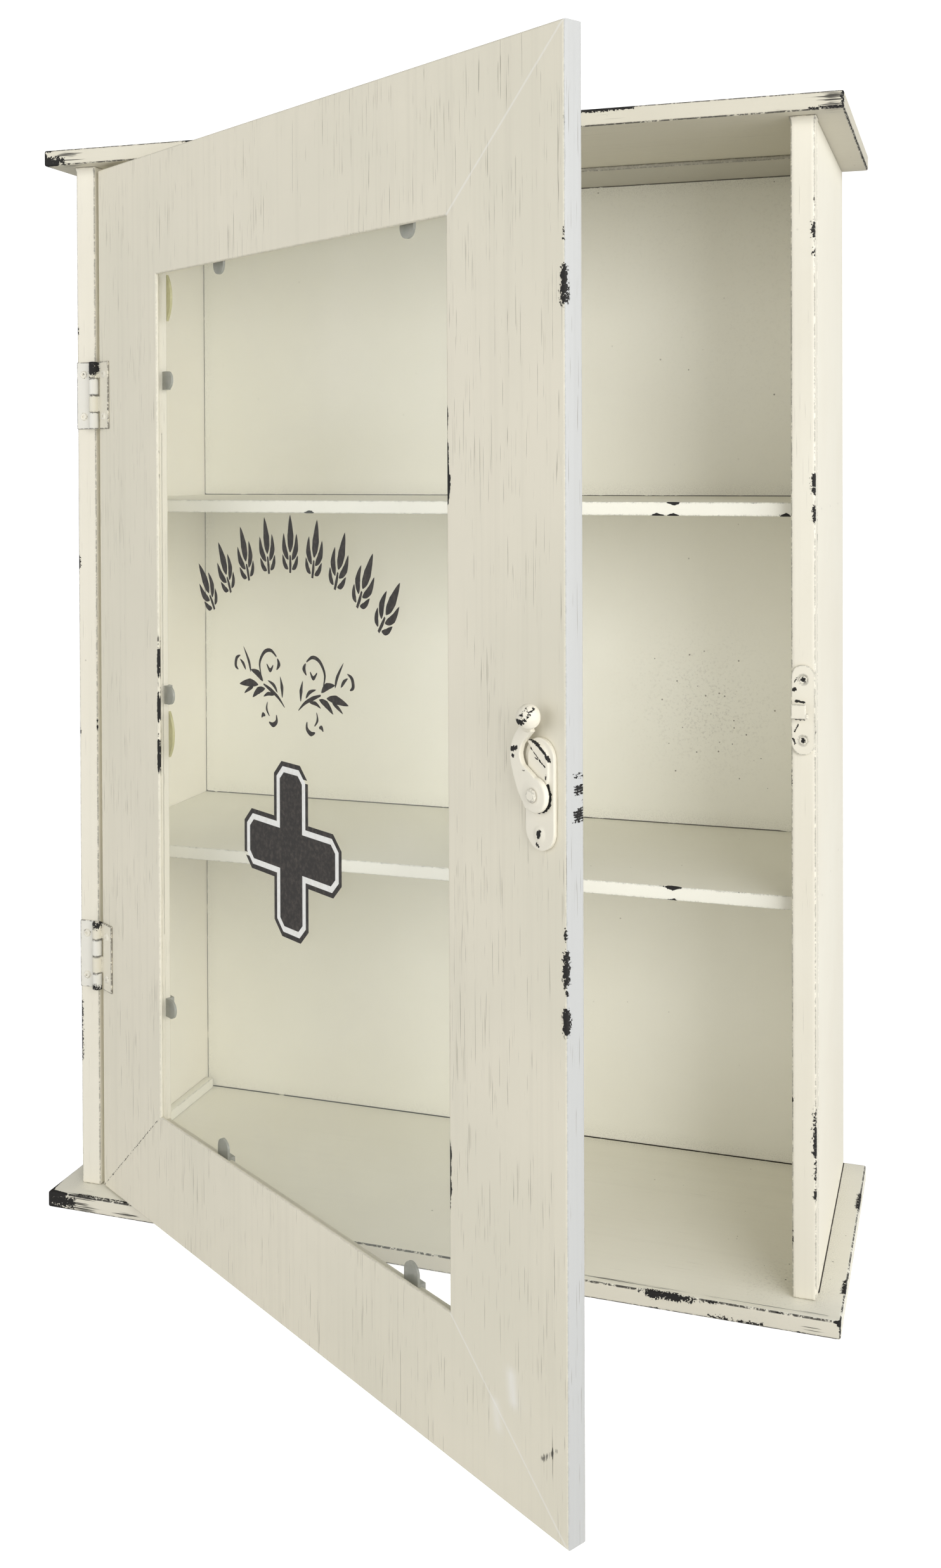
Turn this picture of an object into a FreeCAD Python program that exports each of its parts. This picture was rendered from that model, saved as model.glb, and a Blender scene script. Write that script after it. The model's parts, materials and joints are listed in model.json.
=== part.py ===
import FreeCAD, Part
import os

Vector = FreeCAD.Vector

# Overall sizes of the cabinet box, in millimetres and degrees
carcass_wide = 467.0
carcass_high = 657.0
carcass_deep = 180.0
door_open_angle = 32.3

# Top and base boards
top_side_overhang = 16.5
top_board_thick = 10.0
top_front_overhang = 11.0
base_side_overhang = 14.5
base_board_thick = 10.0
base_front_overhang = 17.0
board_edge_radius = 1.5

# Front posts and the thin sheets behind them
post_wide = 13.5
post_deep = 11.0
post_lap = 5.0
side_panel_thick = 3.2
back_panel_thick = 3.2
back_recess = 10.8

# Shelves, strips and beads inside
shelf_thick = 8.0
lower_shelf_top = 231.0
upper_shelf_top = 453.0
shelf_door_gap = 0.7
ceiling_strip_deep = 57.5
ceiling_strip_thick = 2.5
bead_wide = 6.0
bead_high = 7.5
bead_end_gap = 3.0

# Rails and hangers behind the back panel
rear_rail_thick = 8.8
rear_top_rail_high = 45.0
rear_bottom_rail_high = 25.0
hanger_spacing = 380.0
hanger_wide = 18.0
hanger_high = 38.0
hanger_thick = 1.5
hanger_hole_radius = 4.5
hanger_slot_radius = 2.2
hanger_slot_rise = 8.0
hanger_pocket_margin = 1.0
hanger_screw_spacing = 26.0

# Hidden dowels and brads
dowel_radius = 2.5
dowel_in_board = 7.0
dowel_in_post = 12.0
dowel_in_mitre = 16.0
dowel_clearance = 0.05
dowel_end_clearance = 0.5
brad_radius = 0.7
brad_clearance = 0.05
side_brad_long = 8.0
shelf_brad_long = 13.0
back_brad_long = 12.0
brad_row_shares = (0.15, 0.5, 0.85)
back_brad_shares = (-0.8, -0.3, 0.3, 0.8)

# Door frame and glass
door_side_gap = 1.5
door_bottom_gap = 1.0
door_top_gap = 3.0
door_thick = 10.5
hinge_stile_wide = 76.5
lock_stile_wide = 80.5
top_rail_wide = 73.5
bottom_rail_wide = 69.0
glass_lip = 4.0
rebate_wide = 6.0
glass_thick = 3.0
glass_clearance = 0.5

# Clips that hold the glass, placed as shares of the sight opening
clip_wide = 11.0
clip_reach = 5.5
clip_thick = 1.5
clip_edge_gap = 0.3
clip_flange = 10.0
clip_side_shares = (0.125, 0.5, 0.875)
clip_rail_shares = (0.22, 0.86)

# Two dabs of glazing glue on the hinge side, in the top corner and under the middle clip
dab_wide = 5.0
dab_thick = 1.5
dab_high = 28.0
dab_clip_gap = 4.0

# Butt hinges
hinge_long = 43.0
hinge_heights = (520.0, 160.0)
hinge_knuckles = 4
knuckle_radius = 3.0
knuckle_face_gap = 0.3
knuckle_gap = 0.3
knuckle_notch_gap = 0.4
hinge_pin_radius = 1.3
hinge_pin_clearance = 0.05
hinge_pin_end = 0.5
leaf_thick = 1.2
door_leaf_wide = 15.0
post_leaf_margin = 0.5
hinge_screw_spacing = 27.0

# Screws
screw_radius = 1.3
screw_clearance = 0.1
screw_head_radius = 2.6
screw_head_high = 0.7
screw_head_top_share = 0.75
screw_sink = 1.3
screw_drive_radius = 0.9
screw_drive_deep = 0.5
leaf_screw_long = 8.0
plate_screw_long = 8.0
clip_screw_long = 6.0
hanger_screw_long = 5.5

# Latch on the lock stile
latch_height = 333.0
latch_edge_inset = 14.75
latch_plate_wide = 18.4
latch_plate_high = 49.0
latch_plate_thick = 2.0
latch_pad_wide = 13.0
latch_pad_high = 20.0
latch_pad_rise = 1.0
latch_screw_spacing = 35.0
latch_play = 0.3
lever_reach = 34.6
lever_knob_side = 2.7
lever_knob_radius = 5.2
lever_knob_proud = 10.0
lever_disc_radius = 8.0
lever_disc_thick = 3.0
lever_blade_thick = 2.6
lever_neck_radius = 2.4
lever_neck_top_radius = 3.0
rivet_radius = 2.4
rivet_clearance = 0.05
rivet_head_radius = 3.4
rivet_head_high = 1.2
rivet_deep = 6.0

# Outline of the lever's blade, across and up, as shares of the lever's reach
heel_share = (-0.20, -0.10)
bulge_share = (-0.44, 0.42)
crown_share = (-0.20, 0.84)
tip_share = (0.06, 0.93)
chord_top_share = (-0.10, 0.80)
chord_foot_share = (-0.10, 0.10)
neck_share = (-0.03, 0.88)

# Keeper on the right post, with a lip that opens upwards for the blade
keeper_side_margin = 0.2
keeper_high = 50.0
keeper_thick = 1.8
keeper_rise = 5.6
keeper_screw_spacing = 33.7
lip_side_inset = 0.3
lip_wide = 8.4
lip_wall = 1.9
lip_cover_thick = 1.5
lip_high = 8.2

# One overrun serves every cut that runs out of a face
overrun = 1.0

# Places that follow from the sizes above, with the front plane of the posts at y = 0
half_carcass = carcass_wide / 2
side_inner_x = half_carcass - side_panel_thick
opening_half = half_carcass - post_wide
top_under_z = base_board_thick + carcass_high
back_face_y = carcass_deep - back_recess - back_panel_thick
back_rear_y = carcass_deep - back_recess
shelf_front_y = max(post_deep, door_thick) + shelf_door_gap
rail_rear_y = back_rear_y + rear_rail_thick
door_left_x = -opening_half + door_side_gap
door_wide = 2 * (opening_half - door_side_gap)
door_low_z = base_board_thick + door_bottom_gap
door_high = carcass_high - door_bottom_gap - door_top_gap
door_top_z = door_low_z + door_high
sight_left = door_left_x + hinge_stile_wide
sight_right = door_left_x + door_wide - lock_stile_wide
sight_low = door_low_z + bottom_rail_wide
sight_top = door_top_z - top_rail_wide
glass_back_y = glass_lip + glass_thick
hinge_x = -opening_half + door_side_gap / 2
hinge_y = -(knuckle_radius + knuckle_face_gap)
latch_x = door_left_x + door_wide - latch_edge_inset
latch_pad_top = latch_plate_thick + latch_pad_rise
lever_under = latch_pad_top + latch_play
keeper_x = half_carcass - post_wide / 2
keeper_z = latch_height + keeper_rise

# The origin is the centre of the base board's underside
frame_shift = Vector(0, (base_front_overhang - carcass_deep) / 2, 0)
up = Vector(0, 0, 1)
inward = Vector(0, 1, 0)


def box(low, high):
    """A block between two opposite corners."""
    size = Vector(*high) - Vector(*low)
    return Part.makeBox(size.x, size.y, size.z, Vector(*low))


def rod(radius, start, along, long):
    """A round bar from a point along a direction."""
    return Part.makeCylinder(radius, long, Vector(*start), along)


def join(shapes):
    """One clean solid from shapes that overlap."""
    return shapes[0].multiFuse(shapes[1:]).removeSplitter()


def drill(shape, tools):
    """A shape with several cutters taken out of it."""
    return shape.cut(Part.makeCompound(tools)) if tools else shape


def prism(points, front_y, back_y):
    """A straight-sided outline in the front plane, given depth."""
    corners = [Vector(x, front_y, z) for x, z in points]
    wire = Part.makePolygon(corners + corners[:1])
    return Part.Face(wire).extrude(Vector(0, back_y - front_y, 0))


def round_ended_plate(x, z, wide, high, front_y, back_y):
    """An upright plate with half-round ends."""
    radius = wide / 2
    reach = high / 2 - radius
    top_left = Vector(x - radius, front_y, z + reach)
    top_right = Vector(x + radius, front_y, z + reach)
    low_left = Vector(x - radius, front_y, z - reach)
    low_right = Vector(x + radius, front_y, z - reach)
    edges = [
        Part.Arc(top_left, Vector(x, front_y, z + reach + radius), top_right).toShape(),
        Part.LineSegment(top_right, low_right).toShape(),
        Part.Arc(low_right, Vector(x, front_y, z - reach - radius), low_left).toShape(),
        Part.LineSegment(low_left, top_left).toShape(),
    ]
    return Part.Face(Part.Wire(edges)).extrude(Vector(0, back_y - front_y, 0))


def domed_screw(place, along, long):
    """A screw whose low domed head sits on a face, with its shank going in along a direction."""
    seat = Vector(*place)
    head = Part.makeCone(
        screw_head_radius, screw_head_radius * screw_head_top_share, screw_head_high, seat, -along
    )
    shank = Part.makeCylinder(screw_radius, long, seat, along)
    drive_floor = seat - along * (screw_head_high - screw_drive_deep)
    drive = Part.makeCylinder(screw_drive_radius, screw_drive_deep + overrun, drive_floor, -along)
    return join([head, shank]).cut(drive)


def sunk_screw(place, along, long, slack=0.0):
    """A countersunk screw flush with a face, or the hole for it when some slack is given."""
    seat = Vector(*place)
    head = Part.makeCone(screw_head_radius + slack, screw_radius + slack, screw_sink, seat, along)
    shank = Part.makeCylinder(screw_radius + slack, long + slack, seat, along)
    whole = join([head, shank])
    if slack:
        return whole
    return whole.cut(Part.makeCylinder(screw_drive_radius, screw_drive_deep, seat, along))


def screw_hole(place, along, long):
    """The round hole for a domed screw's shank."""
    return Part.makeCylinder(screw_radius + screw_clearance, long + screw_clearance, Vector(*place), along)


def rounded_board(low, high):
    """A board with all its edges softened."""
    board = box(low, high)
    return board.makeFillet(board_edge_radius, board.Edges)


def post_dowel_spots():
    """Foot points of the dowels, with the way into the post."""
    x = (opening_half + side_inner_x) / 2
    y = post_deep / 2
    spots = []
    for side in (-1, 1):
        spots.append(((side * x, y, base_board_thick), up))
        spots.append(((side * x, y, top_under_z), -up))
    return spots


def post_dowels(slack=0.0, end_slack=0.0):
    """Dowels between the posts and the two boards, or their holes."""
    dowels = []
    for spot, along in post_dowel_spots():
        start = Vector(*spot) - along * (dowel_in_board + end_slack)
        long = dowel_in_board + dowel_in_post + 2 * end_slack
        dowels.append(Part.makeCylinder(dowel_radius + slack, long, start, along))
    return dowels


def dowel_holes():
    """Holes for the post dowels."""
    return post_dowels(dowel_clearance, dowel_end_clearance)


def row_depths():
    """Depths of a row of brads along the side, from front to back."""
    run = back_face_y - shelf_front_y
    return [shelf_front_y + run * share for share in brad_row_shares]


def side_brads(slack=0.0):
    """Brads through the side panels into the base beads, or their holes."""
    brads = []
    z = base_board_thick + bead_high / 2
    for side in (-1, 1):
        along = Vector(-side, 0, 0)
        for y in row_depths():
            start = (side * half_carcass, y, z)
            brads.append(rod(brad_radius + slack, start, along, side_brad_long + slack))
    return brads


def shelf_brads(slack=0.0):
    """Brads through the side panels into the shelf ends, or their holes."""
    brads = []
    for top in (lower_shelf_top, upper_shelf_top):
        for side in (-1, 1):
            along = Vector(-side, 0, 0)
            for y in row_depths():
                start = (side * half_carcass, y, top - shelf_thick / 2)
                brads.append(rod(brad_radius + slack, start, along, shelf_brad_long + slack))
    return brads


def back_brads(slack=0.0):
    """Brads through the back panel into the rear edges of the shelves, or their holes."""
    brads = []
    for top in (lower_shelf_top, upper_shelf_top):
        for share in back_brad_shares:
            start = (side_inner_x * share, back_rear_y, top - shelf_thick / 2)
            brads.append(rod(brad_radius + slack, start, -inward, back_brad_long + slack))
    return brads


def base_board():
    """The board that the cabinet stands on."""
    half = half_carcass + base_side_overhang
    board = rounded_board((-half, -base_front_overhang, 0), (half, carcass_deep, base_board_thick))
    return drill(board, dowel_holes())


def top_board():
    """The overhanging board on top."""
    half = half_carcass + top_side_overhang
    low = (-half, -top_front_overhang, top_under_z)
    board = rounded_board(low, (half, carcass_deep, top_under_z + top_board_thick))
    return drill(board, dowel_holes())


def post(side):
    """A front post, rebated behind for the side panel, with its holes for hinge or keeper screws."""
    edges = sorted((side * opening_half, side * half_carcass))
    whole = box((edges[0], 0, base_board_thick), (edges[1], post_deep, top_under_z))
    lap_edges = sorted((side * side_inner_x, side * (half_carcass + overrun)))
    lap_low = (lap_edges[0], post_deep - post_lap, base_board_thick - overrun)
    lap = box(lap_low, (lap_edges[1], post_deep + overrun, top_under_z + overrun))
    holes = hinge_screw_holes(post_leaf_screw_x(), leaf_screw_long) + keeper_screws(screw_clearance)
    return drill(whole.cut(lap), dowel_holes() + holes)


def side_panel(side):
    """A thin sheet from the post's rebate to the rear plane."""
    edges = sorted((side * side_inner_x, side * half_carcass))
    low = (edges[0], post_deep - post_lap, base_board_thick)
    sheet = box(low, (edges[1], carcass_deep, top_under_z))
    return drill(sheet, side_brads(brad_clearance) + shelf_brads(brad_clearance))


def back_panel():
    """The sheet that closes the back, between the side panels."""
    low = (-side_inner_x, back_face_y, base_board_thick)
    sheet = box(low, (side_inner_x, back_rear_y, top_under_z))
    return drill(sheet, back_brads(brad_clearance))


def shelf(top):
    """A fixed shelf between the side panels, which also stops the closed door."""
    low = (-side_inner_x, shelf_front_y, top - shelf_thick)
    board = box(low, (side_inner_x, back_face_y, top))
    return drill(board, shelf_brads(brad_clearance) + back_brads(brad_clearance))


def ceiling_strip():
    """A flat strip under the top board, along the back panel."""
    low = (-side_inner_x, back_face_y - ceiling_strip_deep, top_under_z - ceiling_strip_thick)
    return box(low, (side_inner_x, back_face_y, top_under_z))


def base_bead(side):
    """A small strip in the corner of the base and a side panel."""
    edges = sorted((side * (side_inner_x - bead_wide), side * side_inner_x))
    low = (edges[0], shelf_front_y, base_board_thick)
    strip = box(low, (edges[1], back_face_y - bead_end_gap, base_board_thick + bead_high))
    return drill(strip, side_brads(brad_clearance))


def hanger_z():
    """Height of the hangers, at the middle of the rear top rail."""
    return top_under_z - rear_top_rail_high / 2


def hanger_screw_spots():
    """Places of the hanger screws on the rear faces of the hanger plates."""
    spots = []
    for side in (-1, 1):
        for end in (-1, 1):
            z = hanger_z() + end * hanger_screw_spacing / 2
            spots.append((side * hanger_spacing / 2, rail_rear_y + hanger_thick, z))
    return spots


def hanger_screws(slack=0.0):
    """Four flush screws that hold the hanger plates, or their holes."""
    return [sunk_screw(spot, -inward, hanger_screw_long, slack) for spot in hanger_screw_spots()]


def rear_top_rail():
    """The rail behind the back panel that carries the hangers, with a pocket for each wall screw's head."""
    low = (-side_inner_x, back_rear_y, top_under_z - rear_top_rail_high)
    rail = box(low, (side_inner_x, rail_rear_y, top_under_z))
    tools = hanger_screws(screw_clearance)
    for side in (-1, 1):
        pocket = round_ended_plate(
            side * hanger_spacing / 2,
            hanger_z() + hanger_slot_rise / 2,
            2 * (hanger_hole_radius + hanger_pocket_margin),
            2 * (hanger_hole_radius + hanger_pocket_margin) + hanger_slot_rise,
            back_rear_y,
            rail_rear_y + overrun,
        )
        tools.append(pocket)
    return drill(rail, tools)


def rear_bottom_rail():
    """The lower rail that keeps the back panel straight."""
    low = (-side_inner_x, back_rear_y, base_board_thick)
    return box(low, (side_inner_x, rail_rear_y, base_board_thick + rear_bottom_rail_high))


def hanger_plates():
    """Two steel keyhole plates for wall screws."""
    plates = []
    for side in (-1, 1):
        x = side * hanger_spacing / 2
        outer = rail_rear_y + hanger_thick
        plate = round_ended_plate(x, hanger_z(), hanger_wide, hanger_high, rail_rear_y, outer)
        start_y = rail_rear_y - overrun
        through = hanger_thick + 2 * overrun
        hole = rod(hanger_hole_radius, (x, start_y, hanger_z()), inward, through)
        slot_top = hanger_z() + hanger_slot_rise
        slot_end = rod(hanger_slot_radius, (x, start_y, slot_top), inward, through)
        slot = box(
            (x - hanger_slot_radius, start_y, hanger_z()),
            (x + hanger_slot_radius, start_y + through, slot_top),
        )
        plates.append(drill(plate.cut(join([hole, slot, slot_end])), hanger_screws(screw_clearance)))
    return plates


def post_leaf_screw_x():
    """Middle of the flat of the post leaf."""
    flat_edge = hinge_x - knuckle_radius - knuckle_notch_gap
    outer_edge = -half_carcass + post_leaf_margin
    return (flat_edge + outer_edge) / 2


def door_leaf_screw_x():
    """Middle of the flat of the door leaf."""
    flat_edge = hinge_x + knuckle_radius + knuckle_notch_gap
    return (flat_edge + hinge_x + door_leaf_wide) / 2


def hinge_screw_spots(x):
    """Places of a leaf's screws on its front face, for both hinges."""
    spots = []
    for height in hinge_heights:
        for end in (-1, 1):
            spots.append((x, -leaf_thick, height + end * hinge_screw_spacing / 2))
    return spots


def hinge_screw_holes(x, long):
    """Holes for a leaf's screws through the leaf and into the wood."""
    return [screw_hole(spot, inward, long) for spot in hinge_screw_spots(x)]


def hinge_screws(x):
    """Screws of one leaf of both hinges."""
    return [domed_screw(spot, inward, leaf_screw_long) for spot in hinge_screw_spots(x)]


def hinge_leaf(height, outer_x, first_knuckle, screw_x):
    """A hinge leaf: its flat, and every second knuckle with the tongue that leads to it."""
    knuckle_long = (hinge_long - (hinge_knuckles - 1) * knuckle_gap) / hinge_knuckles
    low_z = height - hinge_long / 2
    top_z = height + hinge_long / 2
    side = 1 if outer_x > hinge_x else -1
    notch_x = hinge_x + side * (knuckle_radius + knuckle_notch_gap)
    flat_edges = sorted((notch_x, outer_x))
    shapes = [box((flat_edges[0], -leaf_thick, low_z), (flat_edges[1], 0, top_z))]
    bores = []
    tongue_edges = sorted((notch_x, hinge_x))
    for index in range(first_knuckle, hinge_knuckles, 2):
        knuckle_top = top_z - index * (knuckle_long + knuckle_gap)
        knuckle_low = knuckle_top - knuckle_long
        shapes.append(box((tongue_edges[0], -leaf_thick, knuckle_low), (tongue_edges[1], 0, knuckle_top)))
        shapes.append(rod(knuckle_radius, (hinge_x, hinge_y, knuckle_low), up, knuckle_long))
        bore_start = (hinge_x, hinge_y, knuckle_low - overrun)
        bore_long = knuckle_long + 2 * overrun
        bores.append(rod(hinge_pin_radius + hinge_pin_clearance, bore_start, up, bore_long))
    return drill(join(shapes), bores + hinge_screw_holes(screw_x, leaf_screw_long))


def hinge_pin(height):
    """The pin through all the knuckles of one hinge."""
    start = (hinge_x, hinge_y, height - hinge_long / 2 - hinge_pin_end)
    return rod(hinge_pin_radius, start, up, hinge_long + 2 * hinge_pin_end)


def rebate():
    """The space for the glass behind the lip of the frame."""
    low = (sight_left - rebate_wide, glass_lip, sight_low - rebate_wide)
    return box(low, (sight_right + rebate_wide, door_thick + overrun, sight_top + rebate_wide))


def door_corners():
    """Outer and inner corners of the door frame, from bottom left round to top left."""
    right = door_left_x + door_wide
    outer = [(door_left_x, door_low_z), (right, door_low_z), (right, door_top_z), (door_left_x, door_top_z)]
    inner = [(sight_left, sight_low), (sight_right, sight_low)]
    inner += [(sight_right, sight_top), (sight_left, sight_top)]
    return outer, inner


def mitre_dowels(slack=0.0, end_slack=0.0):
    """A dowel square across the middle of each mitre, or its hole."""
    dowels = []
    for outer, inner in zip(*door_corners()):
        line = Vector(inner[0] - outer[0], 0, inner[1] - outer[1])
        across = line.cross(inward).normalize()
        middle = Vector((inner[0] + outer[0]) / 2, door_thick / 2, (inner[1] + outer[1]) / 2)
        half_long = dowel_in_mitre + end_slack
        dowels.append(
            Part.makeCylinder(dowel_radius + slack, 2 * half_long, middle - across * half_long, across)
        )
    return dowels


def frame_member(index):
    """One mitred member of the door frame: bottom, lock side, top or hinge side."""
    outer, inner = door_corners()
    after = (index + 1) % len(outer)
    whole = prism([outer[index], outer[after], inner[after], inner[index]], 0, door_thick)
    holes = mitre_dowels(dowel_clearance, dowel_end_clearance)
    clip_hole = screw_hole((clip_screw_u(), door_thick + clip_thick, 0), -inward, clip_screw_long)
    holes += [clip_turn(clip_hole, *spot) for spot in clip_spots()]
    holes += hinge_screw_holes(door_leaf_screw_x(), leaf_screw_long)
    holes += latch_screws(screw_clearance)
    holes.append(rivet_hole())
    return drill(whole.cut(rebate()), holes)


def door_glass():
    """The pane, which lies on the lip inside the rebate."""
    margin = rebate_wide - glass_clearance
    low = (sight_left - margin, glass_lip, sight_low - margin)
    return box(low, (sight_right + margin, glass_back_y, sight_top + margin))


def clip_spots():
    """Place and turn of each glass clip on the sight edges."""
    wide = sight_right - sight_left
    high = sight_top - sight_low
    spots = []
    for share in clip_side_shares:
        z = sight_low + high * share
        spots.append((Vector(sight_left, 0, z), 0))
        spots.append((Vector(sight_right, 0, z), 180))
    for share in clip_rail_shares:
        x = sight_left + wide * share
        spots.append((Vector(x, 0, sight_low), -90))
        spots.append((Vector(x, 0, sight_top), 90))
    return spots


def clip_turn(shape, place, turn):
    """A clip shape turned and moved from its own axes to its edge."""
    turned = shape.copy()
    turned.rotate(Vector(0, 0, 0), inward, turn)
    turned.translate(place)
    return turned


def clip_screw_u():
    """Distance of a clip's screw from the sight edge, outwards."""
    return -(rebate_wide + clip_flange / 2)


def glass_clip():
    """An offset clip: a half-round foot on the glass, a step, and a flange on the frame's back."""
    half = clip_wide / 2
    step_u = -rebate_wide + clip_edge_gap
    foot_back = glass_back_y + clip_thick
    flat_end = clip_reach - half
    foot = box((step_u, glass_back_y, -half), (flat_end, foot_back, half))
    toe = rod(half, (flat_end, glass_back_y, 0), inward, clip_thick)
    step = box((step_u, glass_back_y, -half), (step_u + clip_thick, door_thick + clip_thick, half))
    flange = box((-rebate_wide - clip_flange, door_thick, -half), (step_u, door_thick + clip_thick, half))
    hole_start = (clip_screw_u(), door_thick + clip_thick, 0)
    return join([foot, toe, step, flange]).cut(screw_hole(hole_start, -inward, clip_screw_long))


def glass_clips():
    """All the clips round the glass."""
    clip = glass_clip()
    return [clip_turn(clip, *spot) for spot in clip_spots()]


def glass_clip_screws():
    """One screw in each clip's flange."""
    screw = domed_screw((clip_screw_u(), door_thick + clip_thick, 0), -inward, clip_screw_long)
    return [clip_turn(screw, *spot) for spot in clip_spots()]


def glazing_dabs():
    """Two flat dabs of glue along the hinge-side sight edge, on the back of the glass."""
    dabs = []
    half = dab_high / 2
    corner_z = sight_top - half
    middle_z = (sight_low + sight_top) / 2 - clip_wide / 2 - dab_clip_gap - half
    for z in (corner_z, middle_z):
        low = Vector(sight_left, glass_back_y, z - half)
        top = Vector(sight_left, glass_back_y, z + half)
        bow = Part.Arc(low, Vector(sight_left + dab_wide, glass_back_y, z), top).toShape()
        chord = Part.LineSegment(top, low).toShape()
        dabs.append(Part.Face(Part.Wire([bow, chord])).extrude(inward * dab_thick))
    return dabs


def latch_screws(slack=0.0):
    """The two screws of the latch plate, or their holes."""
    half = latch_screw_spacing / 2
    top = sunk_screw((latch_x, -latch_pad_top, latch_height + half), inward, plate_screw_long, slack)
    low = sunk_screw((latch_x, -latch_plate_thick, latch_height - half), inward, plate_screw_long, slack)
    return [top, low]


def rivet_hole():
    """The hole for the lever's rivet through the plate and into the stile."""
    start = (latch_x, -latch_pad_top - overrun, latch_height)
    return rod(rivet_radius + rivet_clearance, start, inward, latch_pad_top + overrun + rivet_deep)


def latch_plate():
    """The round-ended plate of the latch, with a raised pad above and round the pivot."""
    plate = round_ended_plate(
        latch_x, latch_height, latch_plate_wide, latch_plate_high, -latch_plate_thick, 0
    )
    pad_margin = (latch_plate_wide - latch_pad_wide) / 2
    pad_z = latch_height + latch_plate_high / 2 - latch_pad_high / 2 - pad_margin
    pad = round_ended_plate(latch_x, pad_z, latch_pad_wide, latch_pad_high, -latch_pad_top, 0)
    boss = rod(latch_pad_wide / 2, (latch_x, -latch_pad_top, latch_height), inward, latch_pad_top)
    return drill(join([plate, pad, boss]), latch_screws(screw_clearance) + [rivet_hole()])


def latch_rivet():
    """The rivet that the lever turns on."""
    head_seat = lever_under + lever_disc_thick + latch_play
    shank = rod(rivet_radius, (latch_x, -head_seat, latch_height), inward, head_seat + rivet_deep)
    seat = Vector(latch_x, -head_seat, latch_height)
    head = Part.makeCone(
        rivet_head_radius, rivet_head_radius * screw_head_top_share, rivet_head_high, seat, -inward
    )
    return join([shank, head])


def lever_point(share, proud):
    """A point of the lever from its shares across and up, at a distance in front of the door."""
    return Vector(latch_x + lever_reach * share[0], -proud, latch_height + lever_reach * share[1])


def latch_lever():
    """The turning lever: a disc on the rivet, a crescent blade, a neck and a thumb knob."""
    heel = lever_point(heel_share, lever_under)
    bulge = lever_point(bulge_share, lever_under)
    crown = lever_point(crown_share, lever_under)
    tip = lever_point(tip_share, lever_under)
    chord_top = lever_point(chord_top_share, lever_under)
    chord_foot = lever_point(chord_foot_share, lever_under)
    edges = [Part.Arc(heel, bulge, crown).toShape()]
    corners = [crown, tip, chord_top, chord_foot, heel]
    for start, end in zip(corners[:-1], corners[1:]):
        edges.append(Part.LineSegment(start, end).toShape())
    blade = Part.Face(Part.Wire(edges)).extrude(-inward * lever_blade_thick)
    disc = rod(lever_disc_radius, (latch_x, -lever_under, latch_height), -inward, lever_disc_thick)
    knob_centre = Vector(latch_x + lever_knob_side, -lever_knob_proud, latch_height + lever_reach)
    knob = Part.makeSphere(lever_knob_radius, knob_centre)
    neck_foot = lever_point(neck_share, lever_under + lever_blade_thick / 2)
    neck_run = knob_centre - neck_foot
    neck = Part.makeCone(lever_neck_radius, lever_neck_top_radius, neck_run.Length, neck_foot, neck_run)
    bore = rod(
        rivet_radius + rivet_clearance,
        (latch_x, -lever_under + overrun, latch_height),
        -inward,
        lever_disc_thick + 2 * overrun,
    )
    return join([blade, disc, neck, knob]).cut(bore)


def keeper_screws(slack=0.0):
    """The two screws of the keeper, or their holes."""
    half = keeper_screw_spacing / 2
    heights = (keeper_z + half, keeper_z - half)
    return [sunk_screw((keeper_x, -keeper_thick, z), inward, plate_screw_long, slack) for z in heights]


def keeper_plate():
    """The keeper: a round-ended plate with a lip, open above, that the blade drops behind."""
    wide = post_wide - 2 * keeper_side_margin
    plate = round_ended_plate(keeper_x, keeper_z, wide, keeper_high, -keeper_thick, 0)
    floor_z = latch_height - lever_reach * chord_top_share[0] - latch_play
    low_z = floor_z - lip_wall
    left_x = keeper_x - wide / 2 + lip_side_inset
    right_x = left_x + lip_wide
    cover_in = lever_under + lever_blade_thick + latch_play
    cover_out = cover_in + lip_cover_thick
    wall = box((left_x, -cover_out, low_z), (right_x, 0, floor_z))
    cover = box((left_x, -cover_out, low_z), (right_x, -cover_in, low_z + lip_high))
    return drill(join([plate, wall, cover]), keeper_screws(screw_clearance))


def save(node, shapes, on_door=False):
    """Write a node's solids, with the pieces on the door swung to its open rest."""
    solids = shapes if isinstance(shapes, list) else [shapes]
    whole = Part.makeCompound(solids) if len(solids) > 1 else solids[0].copy()
    if on_door:
        whole.rotate(Vector(hinge_x, hinge_y, 0), up, -door_open_angle)
    whole.translate(frame_shift)
    whole.exportStep("parts/" + node + ".step")


def save_carcass():
    """The fixed pieces."""
    save("base_board", base_board())
    save("top_board", top_board())
    for side, name in ((-1, "left"), (1, "right")):
        save(name + "_post", post(side))
        save(name + "_side_panel", side_panel(side))
        save(name + "_base_bead", base_bead(side))
    save("back_panel", back_panel())
    save("lower_shelf", shelf(lower_shelf_top))
    save("upper_shelf", shelf(upper_shelf_top))
    save("ceiling_strip", ceiling_strip())
    save("rear_top_rail", rear_top_rail())
    save("rear_bottom_rail", rear_bottom_rail())
    save("post_dowels", post_dowels())
    save("side_panel_brads", side_brads())
    save("shelf_brads", shelf_brads())
    save("back_panel_brads", back_brads())
    save("hanger_plates", hanger_plates())
    save("hanger_screws", hanger_screws())
    save("keeper_plate", keeper_plate())
    save("keeper_screws", keeper_screws())


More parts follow.
